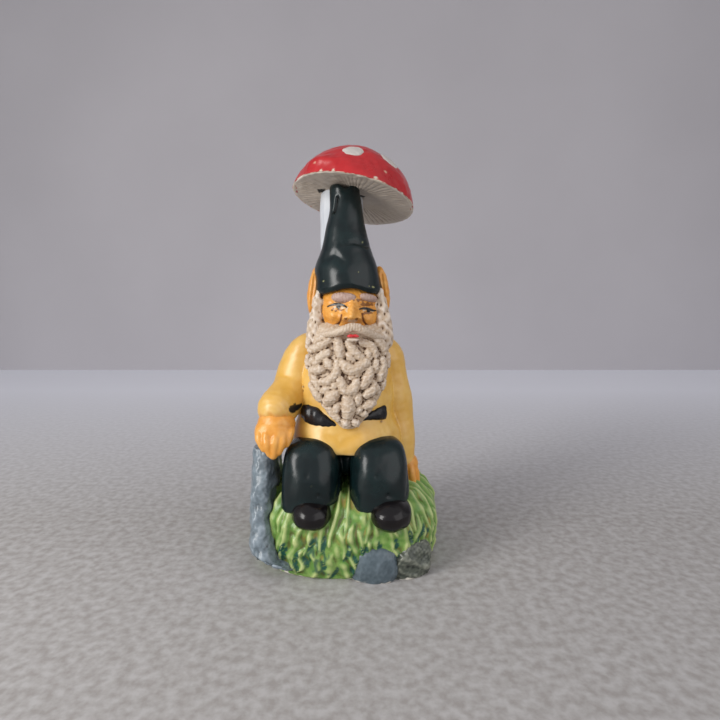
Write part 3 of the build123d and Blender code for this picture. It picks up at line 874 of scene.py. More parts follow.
face = {
    "radii": (11.3, 11.4, 12.2),
    # bumps: x and height from the bottom middle of the head, rise, width, height of the bell
    "bumps": ((1.0, 12.2, 0.8, 1.8, 2.2), (0.9, 10.2, 1.4, 1.9, 1.9), (0.7, 8.2, 2.5, 2.3, 2.0),
              (0.6, 6.9, 2.3, 2.3, 1.5),
              (-2.0, 7.0, 1.7, 1.2, 1.2), (3.8, 7.0, 1.7, 1.2, 1.2), (-6.1, 7.6, 1.5, 2.6, 2.2),
              (7.2, 6.0, 1.7, 2.6, 2.3),
              (-4.5, 10.7, -0.9, 2.4, 1.5), (6.3, 10.0, -0.9, 2.3, 1.4), (-4.4, 10.4, 0.6, 1.7, 0.8),
              (6.2, 9.6, 0.6, 1.7, 0.8), (-1.8, 13.6, 0.5, 4.5, 1.2), (6.4, 13.4, 0.5, 3.5, 1.1)),
    "creases": (((-2.6, 7.9), (-2.9, 6.0), (-3.6, 4.9), (-5.2, 4.1)),
                ((4.4, 8.2), (4.7, 5.8), (6.4, 3.7), (8.8, 2.7))),
    "ink": (((-7.5, 10.6, 0.22), (-6.0, 11.2, 0.36), (-4.2, 11.5, 0.52), (-2.4, 11.3, 0.46),
             (-0.9, 10.6, 0.28)),
            ((3.5, 9.9, 0.26), (4.8, 10.1, 0.4), (6.4, 9.8, 0.5), (8.0, 9.3, 0.38), (9.0, 9.2, 0.24))),
    "pupils": ((-3.7, 10.6, 0.85), (6.4, 9.2, 0.7)),
    "whites": ((-5.0, 10.4, 0.6, 0.35), (-2.2, 10.4, 0.7, 0.38), (4.9, 9.4, 0.6, 0.25),
               (7.8, 9.0, 0.6, 0.25)),
    # brown: partly brown paint, partly painted shade under the brows, by the nose and in the nostrils
    "brown": ((-5.2, 9.5, 1.0, 0.45), (-3.0, 9.6, 1.2, 0.3), (6.0, 8.5, 1.8, 0.45), (5.8, 11.3, 2.4, 0.7),
              (-1.2, 6.9, 0.55, 0.45), (2.5, 6.6, 0.55, 0.45), (4.6, 12.9, 3.2, 0.5)),
    # cream: cream paint under the nose tip, partly painted highlight on the nose
    "cream": ((0.9, 5.9, 1.5, 0.7), (-0.9, 9.8, 0.45, 0.9)),
}


def spotMask(x, z, spots, seed, rough=0.25):
    # soft ovals, each given by its middle and its half width and height, with uneven edges
    uneven = rough * unevenness(np.stack([x, z], -1), 1.1, seed)
    total = np.zeros(len(x))
    for midX, midZ, halfX, halfZ in spots:
        away = np.hypot((x - midX) / halfX, (z - midZ) / halfZ) + uneven
        total = np.maximum(total, 1 - bump(away, 0.75, 1.15))
    return total


def lineMask(x, z, lines, scale=1.0):
    # painted strokes whose half width runs smoothly from station to station
    total = np.zeros(len(x))
    for line in lines:
        for midX, midZ, half in smoothLine(line, 26):
            away = np.hypot(x - midX, z - midZ) / (half * scale)
            total = np.maximum(total, 1 - bump(away, 0.8, 1.25))
    return total


def facePiece():
    low, high = nodeBox("head")
    centre = np.array([faceFoot[0], low[1] + 11.4, faceFoot[2] + 9.0])
    points, quads, tris = ball((0, 0, 0), face["radii"], (0, 0, 0), 1.0, 260, 360)
    x, z = points[:, 0], points[:, 2] + 9.0
    front = bump(-points[:, 1], 0, 6)
    push = np.zeros(len(points))
    for midX, midZ, rise, halfX, halfZ in face["bumps"]:
        push += rise * np.exp(-((x - midX) / halfX) ** 2 - ((z - midZ) / halfZ) ** 2)
    flat = np.stack([x, z], -1)
    crease = np.zeros(len(points))
    for path in face["creases"]:
        crease = np.maximum(crease, np.exp(-(awayFrom(flat, path) / 0.34) ** 2))
    ridge = 0.28 * lineMask(x, z, face["ink"], 1.5)
    points[:, 1] -= front * (push - 0.6 * crease + ridge)
    points = pushed(points, quads, tris, 0.05 * unevenness(points, 1.4, 81)) + centre
    # the creases beside the nose are made darker as well: painted shade
    hollow = hollowness(points, quads, tris, 24) + 0.25 * crease * front
    pupils = [(midX, midZ, half, half) for midX, midZ, half in face["pupils"]]
    ink = front * np.maximum(lineMask(x, z, face["ink"]), spotMask(x, z, pupils, 82, 0.1))
    # eye whites, and cream spots that are partly painted highlight
    whitesAndHighlight = front * np.maximum(spotMask(x, z, face["whites"], 83), spotMask(x, z, face["cream"], 85) * 0.7)
    # brown spots and the nose creases: partly brown paint, partly painted shade
    brown = front * np.maximum(spotMask(x, z, face["brown"], 84, 0.35) * 0.75, crease * 0.9)
    makePiece("face", (points, quads, tris), ["head", "nose"], "skin_ochre", paint["ochreSkinEnamel"],
              hollow=hollow, cream=whitesAndHighlight, brown=brown, ink=ink)


facePiece()


# eyebrows

brows = {
    # middle x, depth behind the foremost face, height, half width, half height, tilt
    "pods": ((-1.9, 0.6, 13.7, 4.3, 1.75, 2), (6.5, 1.0, 13.6, 3.1, 1.35, 14)),
    "strokes": 1.05,
}


def browPiece():
    shapes, strokes = [], []
    for x, back, z, halfX, halfZ, tilt in brows["pods"]:
        centre = faceFoot + np.array([x, back, z])
        points, quads, tris = ball((0, 0, 0), (halfX, 1.5, halfZ), (0, 0, 0), 1.15, 70, 130)
        wander = 1.6 * unevenness(points, 2.6, 92) + 0.5 * np.sin(points[:, 2] * 2)
        comb = np.sin(points[:, 0] / brows["strokes"] * 2 * math.pi + wander) \
            * bump(unevenness(points, 2.2, 93), -0.9, 0.9)
        points = pushed(points, quads, tris, 0.04 * comb + 0.04 * unevenness(points, 1.2, 91))
        points[:, 1] += (points[:, 0] + x) ** 2 / 26
        # darker in the combed grooves: painted shade there, which also draws the strokes
        strokes.append(np.clip(-comb, 0, 1) * 0.3)
        shapes.append((points @ turning((0, tilt, 0)).T + centre, quads, tris))
    makePiece("eyebrows", joined(shapes), ["eyebrows"], "brow_grey", paint["browPinkPaint"],
              stroke=np.concatenate(strokes))


browPiece()


# ears: long leaves with a hollow down the front

ears = {"radii": (2.5, 4.9, 8.7), "grooveDepth": 0.7}


def earPieces():
    for side, node in ((-1, "right_ear"), (1, "left_ear")):
        low, high = nodeBox(node)
        centre = np.array([(low[0] + high[0]) / 2 - side * 0.2, (low[1] + high[1]) / 2,
                           (low[2] + high[2]) / 2 - 0.3])
        points, quads, tris = ball((0, 0, 0), ears["radii"], (0, 0, 0), 1.1, 110, 110)
        path = [(side * 0.2, -4.9, -6.5), (-side * 0.2, -5.2, -2), (-side * 0.2, -5.2, 2),
                (side * 0.3, -4.4, 5.8)]
        sink = groove(points, [path], 0.8, ears["grooveDepth"])
        points = pushed(points, quads, tris, 0.1 * unevenness(points, 3, 95 + side) - sink)
        # brown along the hollow down the front of the ear: painted shade
        brown = np.exp(-(awayFrom(points, path) / 0.55) ** 2) * 0.55
        points = points @ turning((-6, side * -7, side * 8)).T + centre
        name = "rightEar" if side < 0 else "leftEar"
        makePiece(name, (points, quads, tris), [node], "skin_ochre", paint["ochreSkinEnamel"], brown=brown)


earPieces()


# hair: sideburns and the back of the head

hair = {
    # x, y, height, radius from the bottom middle of the face; mirrored for the other side
    "sideburn": ((10.6, 7.4, 16.0, 1.1), (11.0, 6.8, 12.5, 1.8), (11.4, 6.6, 8.0, 2.5),
                 (11.7, 6.2, 3.5, 3.3), (11.6, 5.6, -1.0, 3.8)),
    "back": (13.2, 11.6, 13.2),
    "voxel": 0.34,
}


def hairPiece():
    shapes = []
    for side in (-1, 1):
        line = np.array(hair["sideburn"]) * np.array([side, 1, 1, 1])
        shapes.append(tube(at(faceFoot, line), 30, 36))
    shapes.append(ball(faceFoot + [0, 13.2, 8.2], hair["back"], (0, 0, 0), 1.0, 60, 90))
    points, quads, tris = fused(shapes, hair["voxel"], 2)
    back = bump(points[:, 1], faceFoot[1] + 8, faceFoot[1] + 14)
    locks = np.sin(points[:, 0] * 2.2 + 1.6 * np.sin(points[:, 2] * 0.55)) * 0.35 * back
    pits = np.maximum(unevenness(points, 1.7, 101) - 0.7, 0)
    points = pushed(points, quads, tris, 0.2 * unevenness(points, 2.4, 102) + locks - 0.4 * pits)
    makePiece("hair", (points, quads, tris), ["hair"], "beard_cream", paint["washedCreamPaint"])


hairPiece()


# moustache and lips

moustache = {
    "locks": (((1.4, -4.6, 4.0, 1.3), (-1.6, -4.5, 3.3, 1.45), (-4.9, -3.4, 2.2, 1.35),
               (-7.8, -1.2, 1.5, 1.1), (-9.6, 0.8, 1.2, 0.8)),
              ((1.4, -4.6, 4.0, 1.3), (4.2, -4.3, 3.2, 1.4), (6.9, -2.8, 1.9, 1.3), (9.4, -0.6, 0.8, 1.1),
               (11.0, 1.4, 0.3, 0.8))),
    "middle": ((1.5, -4.6, 4.1), (3.2, 1.4, 1.45)),
    "strokes": 0.95, "voxel": 0.22,
}
lips = {"place": (1.3, -5.1, 1.35), "radii": (2.0, 0.75, 0.62), "below": ((1.2, -4.7, 0.0), (2.1, 0.9, 0.65))}


def moustachePiece():
    shapes = [tube(at(faceFoot, lock), 40, 30) for lock in moustache["locks"]]
    centre, radii = moustache["middle"]
    shapes.append(ball(np.array(centre) + faceFoot, radii, (0, 0, 0), 1.1, 40, 60))
    centre, radii = lips["below"]
    shapes.append(ball(np.array(centre) + faceFoot, radii, (0, 0, 0), 1.0, 30, 40))
    points, quads, tris = fused(shapes, moustache["voxel"], 2)
    across, height = points[:, 0] - faceFoot[0] - 1.4, points[:, 2] - faceFoot[2]
    middle = 1 - bump(np.abs(across), 2.6, 3.6)
    comb = np.sin(across / moustache["strokes"] * 2 * math.pi + unevenness(points, 2.5, 112)) \
        * middle * bump(height, 2.6, 3.4)
    points = pushed(points, quads, tris, 0.035 * comb + 0.05 * unevenness(points, 1.0, 111))
    # darker in the combed grooves: painted shade there, which also draws the strokes
    makePiece("moustache", (points, quads, tris), ["moustache"], "beard_cream", paint["washedCreamPaint"],
              stroke=np.clip(-comb, 0, 1) * 0.4)
    points, quads, tris = ball((0, 0, 0), lips["radii"], (0, 0, 0), 1.1, 40, 70)
    points[:, 2] -= 0.12 * points[:, 0] ** 2 * 0.5
    points[:, 2] -= 0.28 * np.exp(-(points[:, 0] / 0.5) ** 2) * (points[:, 2] > 0)
    points = points + faceFoot + np.array(lips["place"])
    makePiece("lips", (points, quads, tris), [], "cap_red", paint["lipRedEnamel"])


moustachePiece()


# beard: a rounded base with curled locks laid over it

beard = {
    # height, middle x, middle y, radius x, radius y, from the tip of the beard
    "base": ((-0.4, 0.5, 4.8, 2.5, 2.5), (2.1, 0.5, 5.1, 5.0, 3.2), (6.1, 0.3, 6.3, 8.5, 4.2),
             (11.1, 0.1, 7.8, 11.5, 5.5),
             (17.1, 0.1, 9.3, 13.6, 6.5), (23.1, 0.2, 10.8, 14.1, 7.0), (28.1, 0.3, 11.8, 13.8, 7.0),
             (33.1, 0.4, 13.3, 13.0, 6.5), (35.1, 0.4, 14.3, 11.5, 5.0)),
    # locks: a fatness, then x and height of points along the middle line, from the tip of the beard
    "locks": (
        (1.55, (-12.5, 26.0), (-9.3, 27.5), (-5.9, 29.6)), (1.75, (-3.2, 29.6), (-2.7, 27.0), (-2.3, 24.5)),
        (1.6, (0.4, 28.8), (2.4, 25.8), (4.7, 24.0)), (1.5, (4.9, 29.0), (8.1, 27.5), (9.4, 24.5)),
        (1.5, (-10.9, 21.5), (-8.9, 24.0), (-6.4, 25.5)), (1.7, (-12.0, 19.3), (-8.6, 19.9)),
        (1.6, (-3.2, 22.3), (-3.6, 18.9), (-6.0, 16.3), (-8.6, 15.6)),
        (2.1, (-1.3, 21.5), (2.1, 19.9), (6.2, 22.3)),
        (1.9, (-2.4, 16.3), (-0.9, 13.2), (1.7, 13.2), (3.2, 15.8)),
        (1.8, (7.6, 19.9), (6.8, 17.1), (5.3, 14.7)),
        (1.6, (11.9, 22.8), (11.7, 19.7), (10.9, 16.7)), (1.6, (-12.3, 14.1), (-10.4, 11.5), (-9.3, 9.7)),
        (2.2, (-4.1, 11.9), (-6.5, 9.3)), (2.3, (0.0, 10.1), (0.4, 7.5), (0.2, 4.8)),
        (1.7, (9.4, 13.6), (6.4, 11.5)),
        (1.6, (8.6, 8.4), (6.0, 7.5)), (1.3, (-6.1, 5.7), (-3.1, 3.3)), (1.5, (-0.9, 2.4), (-0.1, 1.3)),
        (1.4, (2.5, 2.4), (3.2, 1.5)), (1.2, (4.7, 5.3), (6.2, 4.6)), (1.3, (11.5, 28.8), (12.4, 25.3)),
        (1.2, (-13.1, 29.6), (-13.6, 27.0)), (1.1, (-13.6, 23.6), (-13.7, 20.2)),
        (1.1, (13.6, 24.5), (13.9, 20.6)),
        (1.5, (-7.0, 22.6), (-5.6, 20.8)), (1.4, (0.6, 25.0), (1.6, 23.2)), (1.4, (9.6, 22.4), (9.2, 19.6)),
        (1.5, (-4.6, 13.9), (-3.6, 15.3)), (1.4, (3.6, 18.6), (1.4, 17.6)),
        (1.4, (-11.4, 17.2), (-9.6, 13.4)),
        (1.3, (8.4, 15.6), (10.4, 12.2)), (1.4, (-8.2, 12.6), (-6.6, 13.4)), (1.4, (3.6, 11.2), (3.4, 8.4)),
        (1.3, (-3.2, 8.2), (-3.9, 5.8)), (1.3, (3.4, 5.8), (4.4, 7.0)), (1.2, (-9.4, 29.6), (-7.0, 31.0)),
        (1.3, (9.6, 30.0), (11.4, 27.6)), (1.2, (6.8, 25.6), (7.4, 23.6)),
        (1.2, (-11.4, 23.2), (-12.6, 21.4)),
        (1.2, (12.4, 15.6), (11.6, 13.2)), (1.1, (-7.6, 7.6), (-5.2, 6.4)), (1.1, (1.6, 10.6), (2.6, 12.0)),
    ),
    "proud": 0.56, "voxel": 0.24,
}


def beardPiece():
    levels = levelsFrom(beardFoot, beard["base"])
    line = smoothLine(levels, 200)
    shapes = [stack(levels, 120, 150)]
    for fatness, *points in beard["locks"]:
        path = smoothLine(np.array(points), 14)
        x, z = path[:, 0] + beardFoot[0], path[:, 1] + beardFoot[2]
        midX, midY, halfX, halfY = (np.interp(z, line[:, 0], line[:, k]) for k in (1, 2, 3, 4))
        share = np.clip((x - midX) / halfX, -0.97, 0.97)
        y = midY - halfY * np.sqrt(1 - share ** 2)
        ends = np.linspace(0, 1, 14)
        radius = fatness * (0.86 + 0.2 * np.sin(math.pi * ends))
        stations = np.stack([x, y + radius * (0.5 - beard["proud"]) * 2 - 0.2, z, radius], -1)
        shapes.append(tube(stations, 16, 20, (0, 1, 0.2)))
    points, quads, tris = fused(shapes, beard["voxel"], 1)
    relief = 0.09 * unevenness(points, 1.5, 121) + 0.04 * unevenness(points, 0.7, 122)
    points = pushed(points, quads, tris, relief)
    makePiece("beard", (points, quads, tris), ["beard"], "beard_cream", paint["washedCreamPaint"])


beardPiece()


# hat: a leaning cone with an arched brim and a pinched tip

hat = {
    # height, middle x, middle y, radius x, radius y, from the middle of the brim
    "levels": ((1.6, -0.3, 0.6, 7.5, 7.5), (0.3, -0.3, 0.6, 10.0, 10.1), (-0.2, -0.3, 0.6, 10.9, 11.0),
               (0.3, -0.3, 0.6, 11.4, 11.5),
               (2.0, -0.3, 0.6, 11.7, 11.7), (5, -0.6, 0.9, 11.5, 11.6), (9, -1.35, 1.6, 10.95, 11.0),
               (15, -1.5, 2.8, 9.1, 9.2),
               (21, -1.5, 4.0, 7.5, 7.6), (29, -1.6, 5.7, 6.1, 6.2), (35, -1.9, 7.0, 5.3, 5.3),
               (37.4, -1.95, 7.5, 5.1, 5.1),
               (38.3, -1.95, 7.8, 4.2, 4.2), (38.5, -1.95, 7.9, 1.5, 1.5)),
    "arch": 2.1,
    # lines on the front, as x and height: the slit near the tip, the crease and the dent
    "slit": ((-4.6, 33.4), (-5.1, 31.0), (-5.8, 28.4)),
    "crease": ((-3.0, 16.6), (1.6, 17.3), (6.3, 16.4)),
    "dent": ((-8.6, 11.9), (-5.5, 13.4), (-2.3, 11.0)),
    "worn": ((4.4, 17.7, 0.35, 0.25), (-8.9, 4.1, 0.3, 0.3), (3.0, 7.4, 0.2, 0.2), (7.6, 1.9, 0.9, 0.25)),
}


def hatPiece():
    foot = inBox("hat", 0.5, 0.5, 0)
    points, quads, tris = stack(levelsFrom(foot, hat["levels"]), 170, 220)
    x, z = points[:, 0] - foot[0], points[:, 2] - foot[2]
    turn = np.arctan2(x + 0.3, -(points[:, 1] - foot[1] - 0.6))
    lift = hat["arch"] * np.exp(-(turn / 0.62) ** 2) - 0.1 * np.exp(-((np.abs(turn) - 0.98) / 0.3) ** 2)
    points[:, 2] += lift * (1 - bump(z, 0.5, 7))
    points[:, 2] -= 1.5 * np.exp(-((x + 1.5) / 1.7) ** 2) * bump(z, 34.5, 37.5)
    front = bump(-(points[:, 1] - foot[1] - 3), -2, 1)
    flat = np.stack([x, z], -1)
    slit = np.exp(-(awayFrom(flat, hat["slit"]) / 0.5) ** 2) * front
    crease = np.exp(-(awayFrom(flat, hat["crease"]) / 0.8) ** 2) * front
    dent = np.exp(-(awayFrom(flat, hat["dent"]) / 1.3) ** 2) * front
    welt = np.exp(-((z - 1.2) / 1.4) ** 2) * 0.25
    relief = 0.22 * unevenness(points, 12, 131) + 0.012 * unevenness(points, 2.5, 132) + welt
    points = pushed(points, quads, tris, relief - 1.1 * slit - 0.4 * crease - 0.45 * dent)
    worn = spotMask(x, z, hat["worn"], 133, 0.4) * front
    # the slit is painted darker as well, through the hollow value: painted shade
    makePiece("hat", (points, quads, tris), ["hat"], "hat_green", paint["darkGreenEnamel"],
              hollow=hollowness(points, quads, tris) + 0.4 * slit, worn=worn)


hatPiece()


# toadstool

stem = {
    # height, middle x, middle y, radius, from the middle of the foot
    "levels": ((0, 0, 0, 10.3), (3, 0, 0, 10.6), (15, -0.25, -0.35, 10.2), (40, -0.75, -0.9, 9.6),
               (70, -1.3, -1.55, 8.9),
               (95, -1.75, -2.1, 8.3), (106, -1.95, -2.35, 8.0), (108, -2.0, -2.4, 7.2)),
}
capDome = {
    "centreAbove": 6.9,  # the middle of the rim above the lowest point of the cap
    "pitch": -14.0, "roll": 10.6,
    "rim": 22.8, "height": 18.6,
    # radius and height of the rounded lip, from the middle of the rim
    "lip": ((1.0, 2.7), (10.0, 2.7), (17.5, 2.3), (20.3, 0.9), (21.6, 0.15), (22.4, -0.05), (22.78, 0.1)),
    # turn and height of chips along the rim, with their half length and half height
    "chips": ((197, 0.2, 2.2, 0.4), (208, 0.6, 0.7, 0.8), (216, 0.2, 2.0, 0.35), (241, 0.4, 0.5, 0.7),
              (253, 0.3, 0.5, 0.8),
              (290, 0.7, 0.8, 0.5), (322, 0.3, 1.2, 0.35), (340, 0.1, 4.0, 0.3)),
    "rubbed": ((300, 4.6, 0.8, 0.5), (232, 3.4, 0.6, 0.4)),
    "swelling": (236, 4.8, 8.0, 2.3, 1.2),  # an oval as above, then how far it stands out
    "spots": ((264, 58), (312, 54), (10, 60), (75, 24), (85, 62), (140, 52), (184, 62)),
    "spotRadius": 3.8, "spotRise": 0.38,
}
gills = {
    "rim": 22.3, "rise": 1.8, "count": 66, "depth": 0.34,
    "gapShadows": ((-58, 17), (62, 9)),  # painted shadow in the gap round the stem: bearing from the front, half width, degrees
    "gapShadowRing": (8.6, 1.6),  # their distance from the stem's middle and their half depth
}


def capPlace(points):  # from the cap's own frame, z along its axis, to its leaning place
    low, high = nodeBox("toadstool_cap")
    centre = np.array([(low[0] + high[0]) / 2, (low[1] + high[1]) / 2, low[2] + capDome["centreAbove"]])
    turn = turning((capDome["pitch"], 0, 0)) @ turning((0, capDome["roll"], 0))
    return points @ turn.T + centre


def revolved(profile, around):  # radius and height stations spun about z
    u = np.linspace(0, 2 * math.pi, around, endpoint=False)
    profile = np.asarray(profile, float)
    x, y = profile[:, :1] * np.cos(u), profile[:, :1] * np.sin(u)
    return closedRings(np.stack([x, y, np.repeat(profile[:, 1:], around, 1)], -1))


def domeBall():  # radius and middle height of the ball that the dome is part of
    radius = (capDome["rim"] ** 2 + capDome["height"] ** 2) / (2 * capDome["height"])
    return radius, capDome["height"] - radius


def capPiece():
    radius, middle = domeBall()
    rise = np.linspace(math.asin(-middle / radius) + 0.01, math.pi / 2 - 0.01, 150)
    dome = np.stack([radius * np.cos(rise), middle + radius * np.sin(rise)], -1)
    profile = np.concatenate([smoothLine(capDome["lip"], 42), dome])
    points, quads, tris = revolved(profile, 360)
    turn = np.degrees(np.arctan2(points[:, 1], points[:, 0])) % 360
    out, height = np.hypot(points[:, 0], points[:, 1]), points[:, 2]
    uneven = unevenness(points, 1.6, 141)

    def awayFromMark(midTurn, midHeight, halfLength, halfHeight):
        # 1 on the outline of an oval mark on the dome
        return np.hypot(np.radians(turn - midTurn) * out / halfLength, (height - midHeight) / halfHeight)

    chip = np.zeros(len(points))
    for oval in capDome["chips"]:
        chip = np.maximum(chip, 1 - bump(awayFromMark(*oval) + 0.25 * uneven, 0.8, 1.1))
    border = 1 - bump(height + 0.08 * uneven + 0.06 * unevenness(points, 5, 142), 0.02, 0.14)
    rubbed = np.zeros(len(points))
    for oval in capDome["rubbed"]:
        rubbed = np.maximum(rubbed, (1 - bump(awayFromMark(*oval) + 0.3 * uneven, 0.5, 1.3)) * 0.6)
    *oval, swell = capDome["swelling"]
    relief = 0.22 * unevenness(points, 14, 143) + 0.05 * unevenness(points, 2.5, 144) - 0.12 * chip
    relief = relief + swell * np.exp(-awayFromMark(*oval) ** 2) * (height > 0)
    points = pushed(points, quads, tris, relief)
    makePiece("toadstoolCap", (capPlace(points), quads, tris), ["toadstool_cap"], "cap_red",
              paint["capRedEnamel"], bare=np.maximum(border, chip), chip=rubbed)


def spotPieces():
    radius, middle = domeBall()
    shapes = []
    for index, (turn, down) in enumerate(capDome["spots"]):
        a, b = math.radians(turn), math.radians(down)
        way = np.array([math.sin(b) * math.cos(a), math.sin(b) * math.sin(a), math.cos(b)])
        reach = way[2] * middle + math.sqrt((way[2] * middle) ** 2 + radius ** 2 - middle ** 2)
        up = unit(way * reach - np.array([0, 0, middle]))
        side = unit(np.cross(up, [0.3, 0.9, 0.2]))
        other = np.cross(up, side)
        # a disc that follows the dome, domed a little and rounded off at its edge, with an uneven outline
        share = np.concatenate([np.linspace(0.02, 1, 26), [1.015, 1.0, 0.9]])
        lift = np.concatenate([capDome["spotRise"] * (1 - np.linspace(0.02, 1, 26) ** 7), [-0.1, -0.4, -0.6]])
        u = np.linspace(0, 2 * math.pi, 90, endpoint=False)
        edge = 1 + 0.03 * np.sin(2 * u + index * 1.7) + 0.02 * np.sin(3 * u + index * 2.9)
        angle = share[:, None] * edge[None] * capDome["spotRadius"] / radius
        ways = np.cos(angle)[..., None] * up + np.sin(angle)[..., None] * (
            np.cos(u)[None, :, None] * side + np.sin(u)[None, :, None] * other)
        rings = ways * (radius + lift)[:, None, None] + np.array([0, 0, middle])
        shapes.append(closedRings(rings))
    points, quads, tris = joined(shapes)
    points = pushed(points, quads, tris, 0.04 * unevenness(points, 1.8, 151))
    makePiece("capSpots", (capPlace(points), quads, tris), ["cap_spots"], "spot_white",
              paint["spotWhiteEnamel"])


def gillPiece():
    rim, rise = gills["rim"], gills["rise"]
    radii = np.linspace(0.6, rim, 90)
    under = np.stack([radii, rise * (1 - radii / rim) ** 1.2 - 0.1 * bump(radii, 19, 21.5)], -1)
    above = np.array([(rim + 0.15, 0.4), (rim - 0.8, 1.2), (18, 2.6), (6, 3.0), (0.6, 3.0)])
    points, quads, tris = revolved(np.concatenate([under, above]), 720)
    u = np.arctan2(points[:, 1], points[:, 0])
    out = np.hypot(points[:, 0], points[:, 1])
    below = np.arange(len(points)) < len(under) * 720
    place = np.stack([np.cos(u), np.sin(u), out / 60], -1)
    wander = 1.6 * unevenness(place, 0.9, 161)
    ridge = np.abs(np.sin(u * gills["count"] / 2 + wander)) ** 0.7
    strength = bump(out, 5, 12) * (1 - bump(out, 19.5, 22)) \
        * np.clip(0.7 + 0.5 * unevenness(place, 1.4, 162), 0.15, 1.2)
    points[:, 2] -= below * strength * gills["depth"] * ridge
    points = pushed(points, quads, tris, 0.08 * unevenness(points, 3, 163) * below)
    # darker between the gill ridges and on one side of the cap: painted shade
    shade = np.clip(1 - ridge, 0, 1) ** 2 * strength * 0.5 * bump(np.cos(u - 0.1), -0.4, 0.6)
    # a nearly black painted shadow in the gap where the stem meets the gills
    dark = np.zeros(len(points))
    stemTop = inBox("toadstool_stem", 0.5, 0.5, 1.0) + np.array([-2.0, -2.4, 0])
    world = capPlace(points)
    fromStem = world[:, :2] - stemTop[:2]
    ring = np.hypot(fromStem[:, 0], fromStem[:, 1])
    bearing = np.degrees(np.arctan2(fromStem[:, 0], -fromStem[:, 1]))
    reach, halfDepth = gills["gapShadowRing"]
    for middle, half in gills["gapShadows"]:
        away = np.abs(bearing - middle) / half + np.abs(ring - reach) / halfDepth
        dark = np.maximum(dark, 1 - bump(away, 0.8, 1.2))
    makePiece("gills", (world, quads, tris), ["gill_disc"], "gill_cream", paint["gillCreamPaint"],
              hollow=hollowness(points, quads, tris, 10) * below, shade=shade, dark=dark * below)


def stemPiece():
    levels = [(h, x, y, r, r) for h, x, y, r in stem["levels"]]
    points, quads, tris = stack(levelsFrom(inBox("toadstool_stem", 0.5, 0.5, 0), levels), 220, 150)
    fibre = 0.05 * unevenness(points * np.array([1, 1, 0.12]), 1.6, 171)
    points = pushed(points, quads, tris, 0.25 * unevenness(points, 13, 172) + fibre)
    makePiece("toadstoolStem", (points, quads, tris), ["toadstool_stem"], "stem_white",
              paint["stemWhiteEnamel"])


capPiece()
spotPieces()
gillPiece()
stemPiece()


# the rod inside the stem stays as the CAD has it, in drawn steel

def drawnSteel():
    # plain drawn steel: a grey metal with fine lines along the rod from the drawing die
    material, tree, place = newMaterial("drawnSteel")
    along = addNode(tree, "ShaderNodeMapping", [("Vector", place), ("Scale", (1, 1, 0.03))])
    lines = addNode(tree, "ShaderNodeTexNoise", [("Vector", along.outputs[0]), ("Scale", 1 / (0.25 * mm))])
    gloss = addNode(tree, "ShaderNodeMapRange", [(0, lines.outputs["Fac"]), (3, 0.28), (4, 0.45)])
    finishMaterial(tree, "8F9194", [(lines.outputs["Fac"], "B3B5B8")], [
        ("Roughness", gloss.outputs[0]), ("Metallic", 1.0)])
    return material


rods = [thing for thing in bpy.data.objects if thing.type == "MESH" and thing.name.startswith("stem_rod")]
for rod in rods:
    rod.material_slots[0].link = "OBJECT"
    rod.material_slots[0].material = drawnSteel()
print("rods in drawn steel:", len(rods))


# floor, wall, light and camera

studio = {
    "wallBehind": 424, "spread": 2400,
    # the floor's far colour is painted light on the far part of the table
    "floor": {"base": "9C9895", "second": "B4B2B1", "mottle": 3, "far": "E6E7EE"},
    "wall": {"base": "BCB9BD", "second": "B6B3B7", "mottle": 200},
    "key": {"place": (-330, -250, 215), "size": (150, 340), "power": 1.5, "colour": "FFFDFA", "shine": 1.0},
    "fill": {"place": (320, -300, 260), "size": (500, 500), "power": 0.75, "colour": "F4F0F0", "shine": 0.2},
    "world": ("DCDCE0", 0.78),
}
# the camera: how far aside, back and up it stands, as shares of the figure's height, its pitch and its lens
view = {"aside": 0.0335, "back": 1.34, "up": 0.6667, "pitch": 8.0, "lens": 27.05}


def plainMaterial(name, look):
    # matt paint or cloth with a mottle; a table top is painted paler towards the far side, a painted light
    # for the sky it catches
    material, tree, place = newMaterial(name)
    mottle = addNode(tree, "ShaderNodeTexNoise", [
        ("Vector", place), ("Scale", 1 / (look["mottle"] * mm)), ("Detail", 6)])
    share = addNode(tree, "ShaderNodeMapRange", [(0, mottle.outputs["Fac"]), (1, 0.35), (2, 0.65)])
    layers = [(share.outputs[0], look["second"])]
    # painted light: paler towards the far side of the table
    if look.get("far"):
        depth = addNode(tree, "ShaderNodeSeparateXYZ", [(0, place)])
        distance = addNode(tree, "ShaderNodeMapRange", [(0, depth.outputs[1]), (1, 0.02), (2, 0.3)])
        layers.append((distance.outputs[0], look["far"]))
    finishMaterial(tree, look["base"], layers, [("Roughness", 0.8)])
    return material


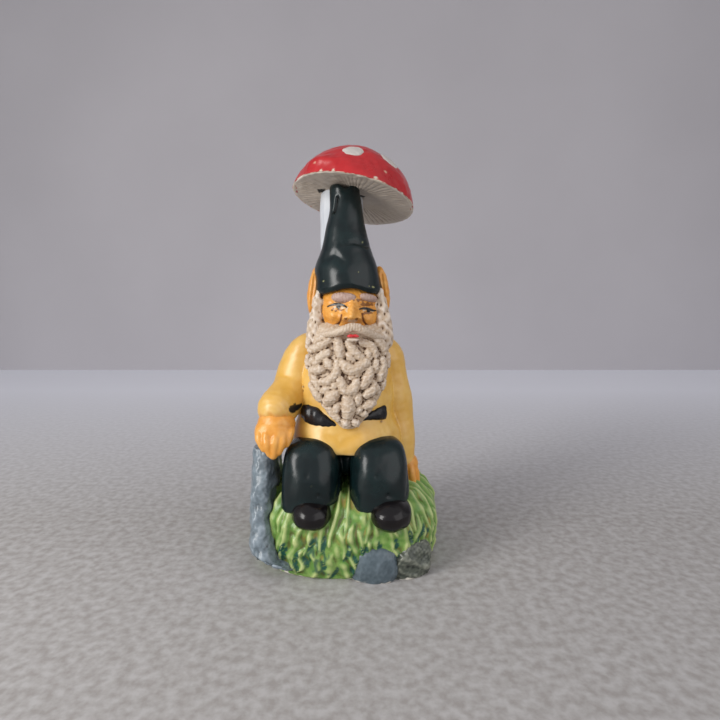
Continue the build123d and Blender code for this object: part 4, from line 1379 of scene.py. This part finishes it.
def stagePiece(name, corners, material):
    mesh = makeMesh(name, np.array(corners, float), np.array([[0, 1, 2, 3]]), np.zeros((0, 3), int))
    mesh.materials.append(material)
    piece = bpy.data.objects.new(name, mesh)
    bpy.context.scene.collection.objects.link(piece)


def studioPieces():
    far, wall = studio["spread"], studio["wallBehind"]
    stagePiece("floor", [(-far, -far, 0), (far, -far, 0), (far, far, 0), (-far, far, 0)],
               plainMaterial("paleTable", studio["floor"]))
    stagePiece("wall", [(-far, wall, -5), (far, wall, -5), (far, wall, far), (-far, wall, far)],
               plainMaterial("paleWall", studio["wall"]))
    target = np.array([0, 0, (cadHigh[2] - cadLow[2]) / mm * 0.45])
    for name in ("key", "fill"):
        look = studio[name]
        lamp = bpy.data.lights.new(name, "AREA")
        lamp.shape = "RECTANGLE"
        lamp.size, lamp.size_y = (s * mm for s in look["size"])
        lamp.energy = look["power"]
        lamp.color = linear(look["colour"])[:3]
        lamp.specular_factor = look["shine"]
        holder = bpy.data.objects.new(name, lamp)
        bpy.context.scene.collection.objects.link(holder)
        place = np.array(look["place"], float)
        holder.location = place * mm
        down = unit(target - place)
        flat = math.hypot(down[0], down[1])
        holder.rotation_euler = (math.atan2(flat, -down[2]), 0, math.atan2(-down[0], down[1]))
    world = bpy.data.worlds.new("studio")
    bpy.context.scene.world = world
    world.use_nodes = True
    background = world.node_tree.nodes["Background"]
    background.inputs["Color"].default_value = linear(studio["world"][0])
    background.inputs["Strength"].default_value = studio["world"][1]


def cameraPlace():
    tall = cadHigh[2] - cadLow[2]
    camera = bpy.data.cameras.new("camera")
    camera.lens = view["lens"]
    camera.sensor_width = 36
    camera.clip_start = 0.01
    camera.dof.use_dof = False
    holder = bpy.data.objects.new("camera", camera)
    bpy.context.scene.collection.objects.link(holder)
    holder.location = (view["aside"] * tall, -view["back"] * tall, view["up"] * tall)
    holder.rotation_euler = (math.radians(90 - view["pitch"]), 0, 0)
    bpy.context.scene.camera = holder
    bpy.context.scene.view_settings.view_transform = "Standard"


studioPieces()
cameraPlace()
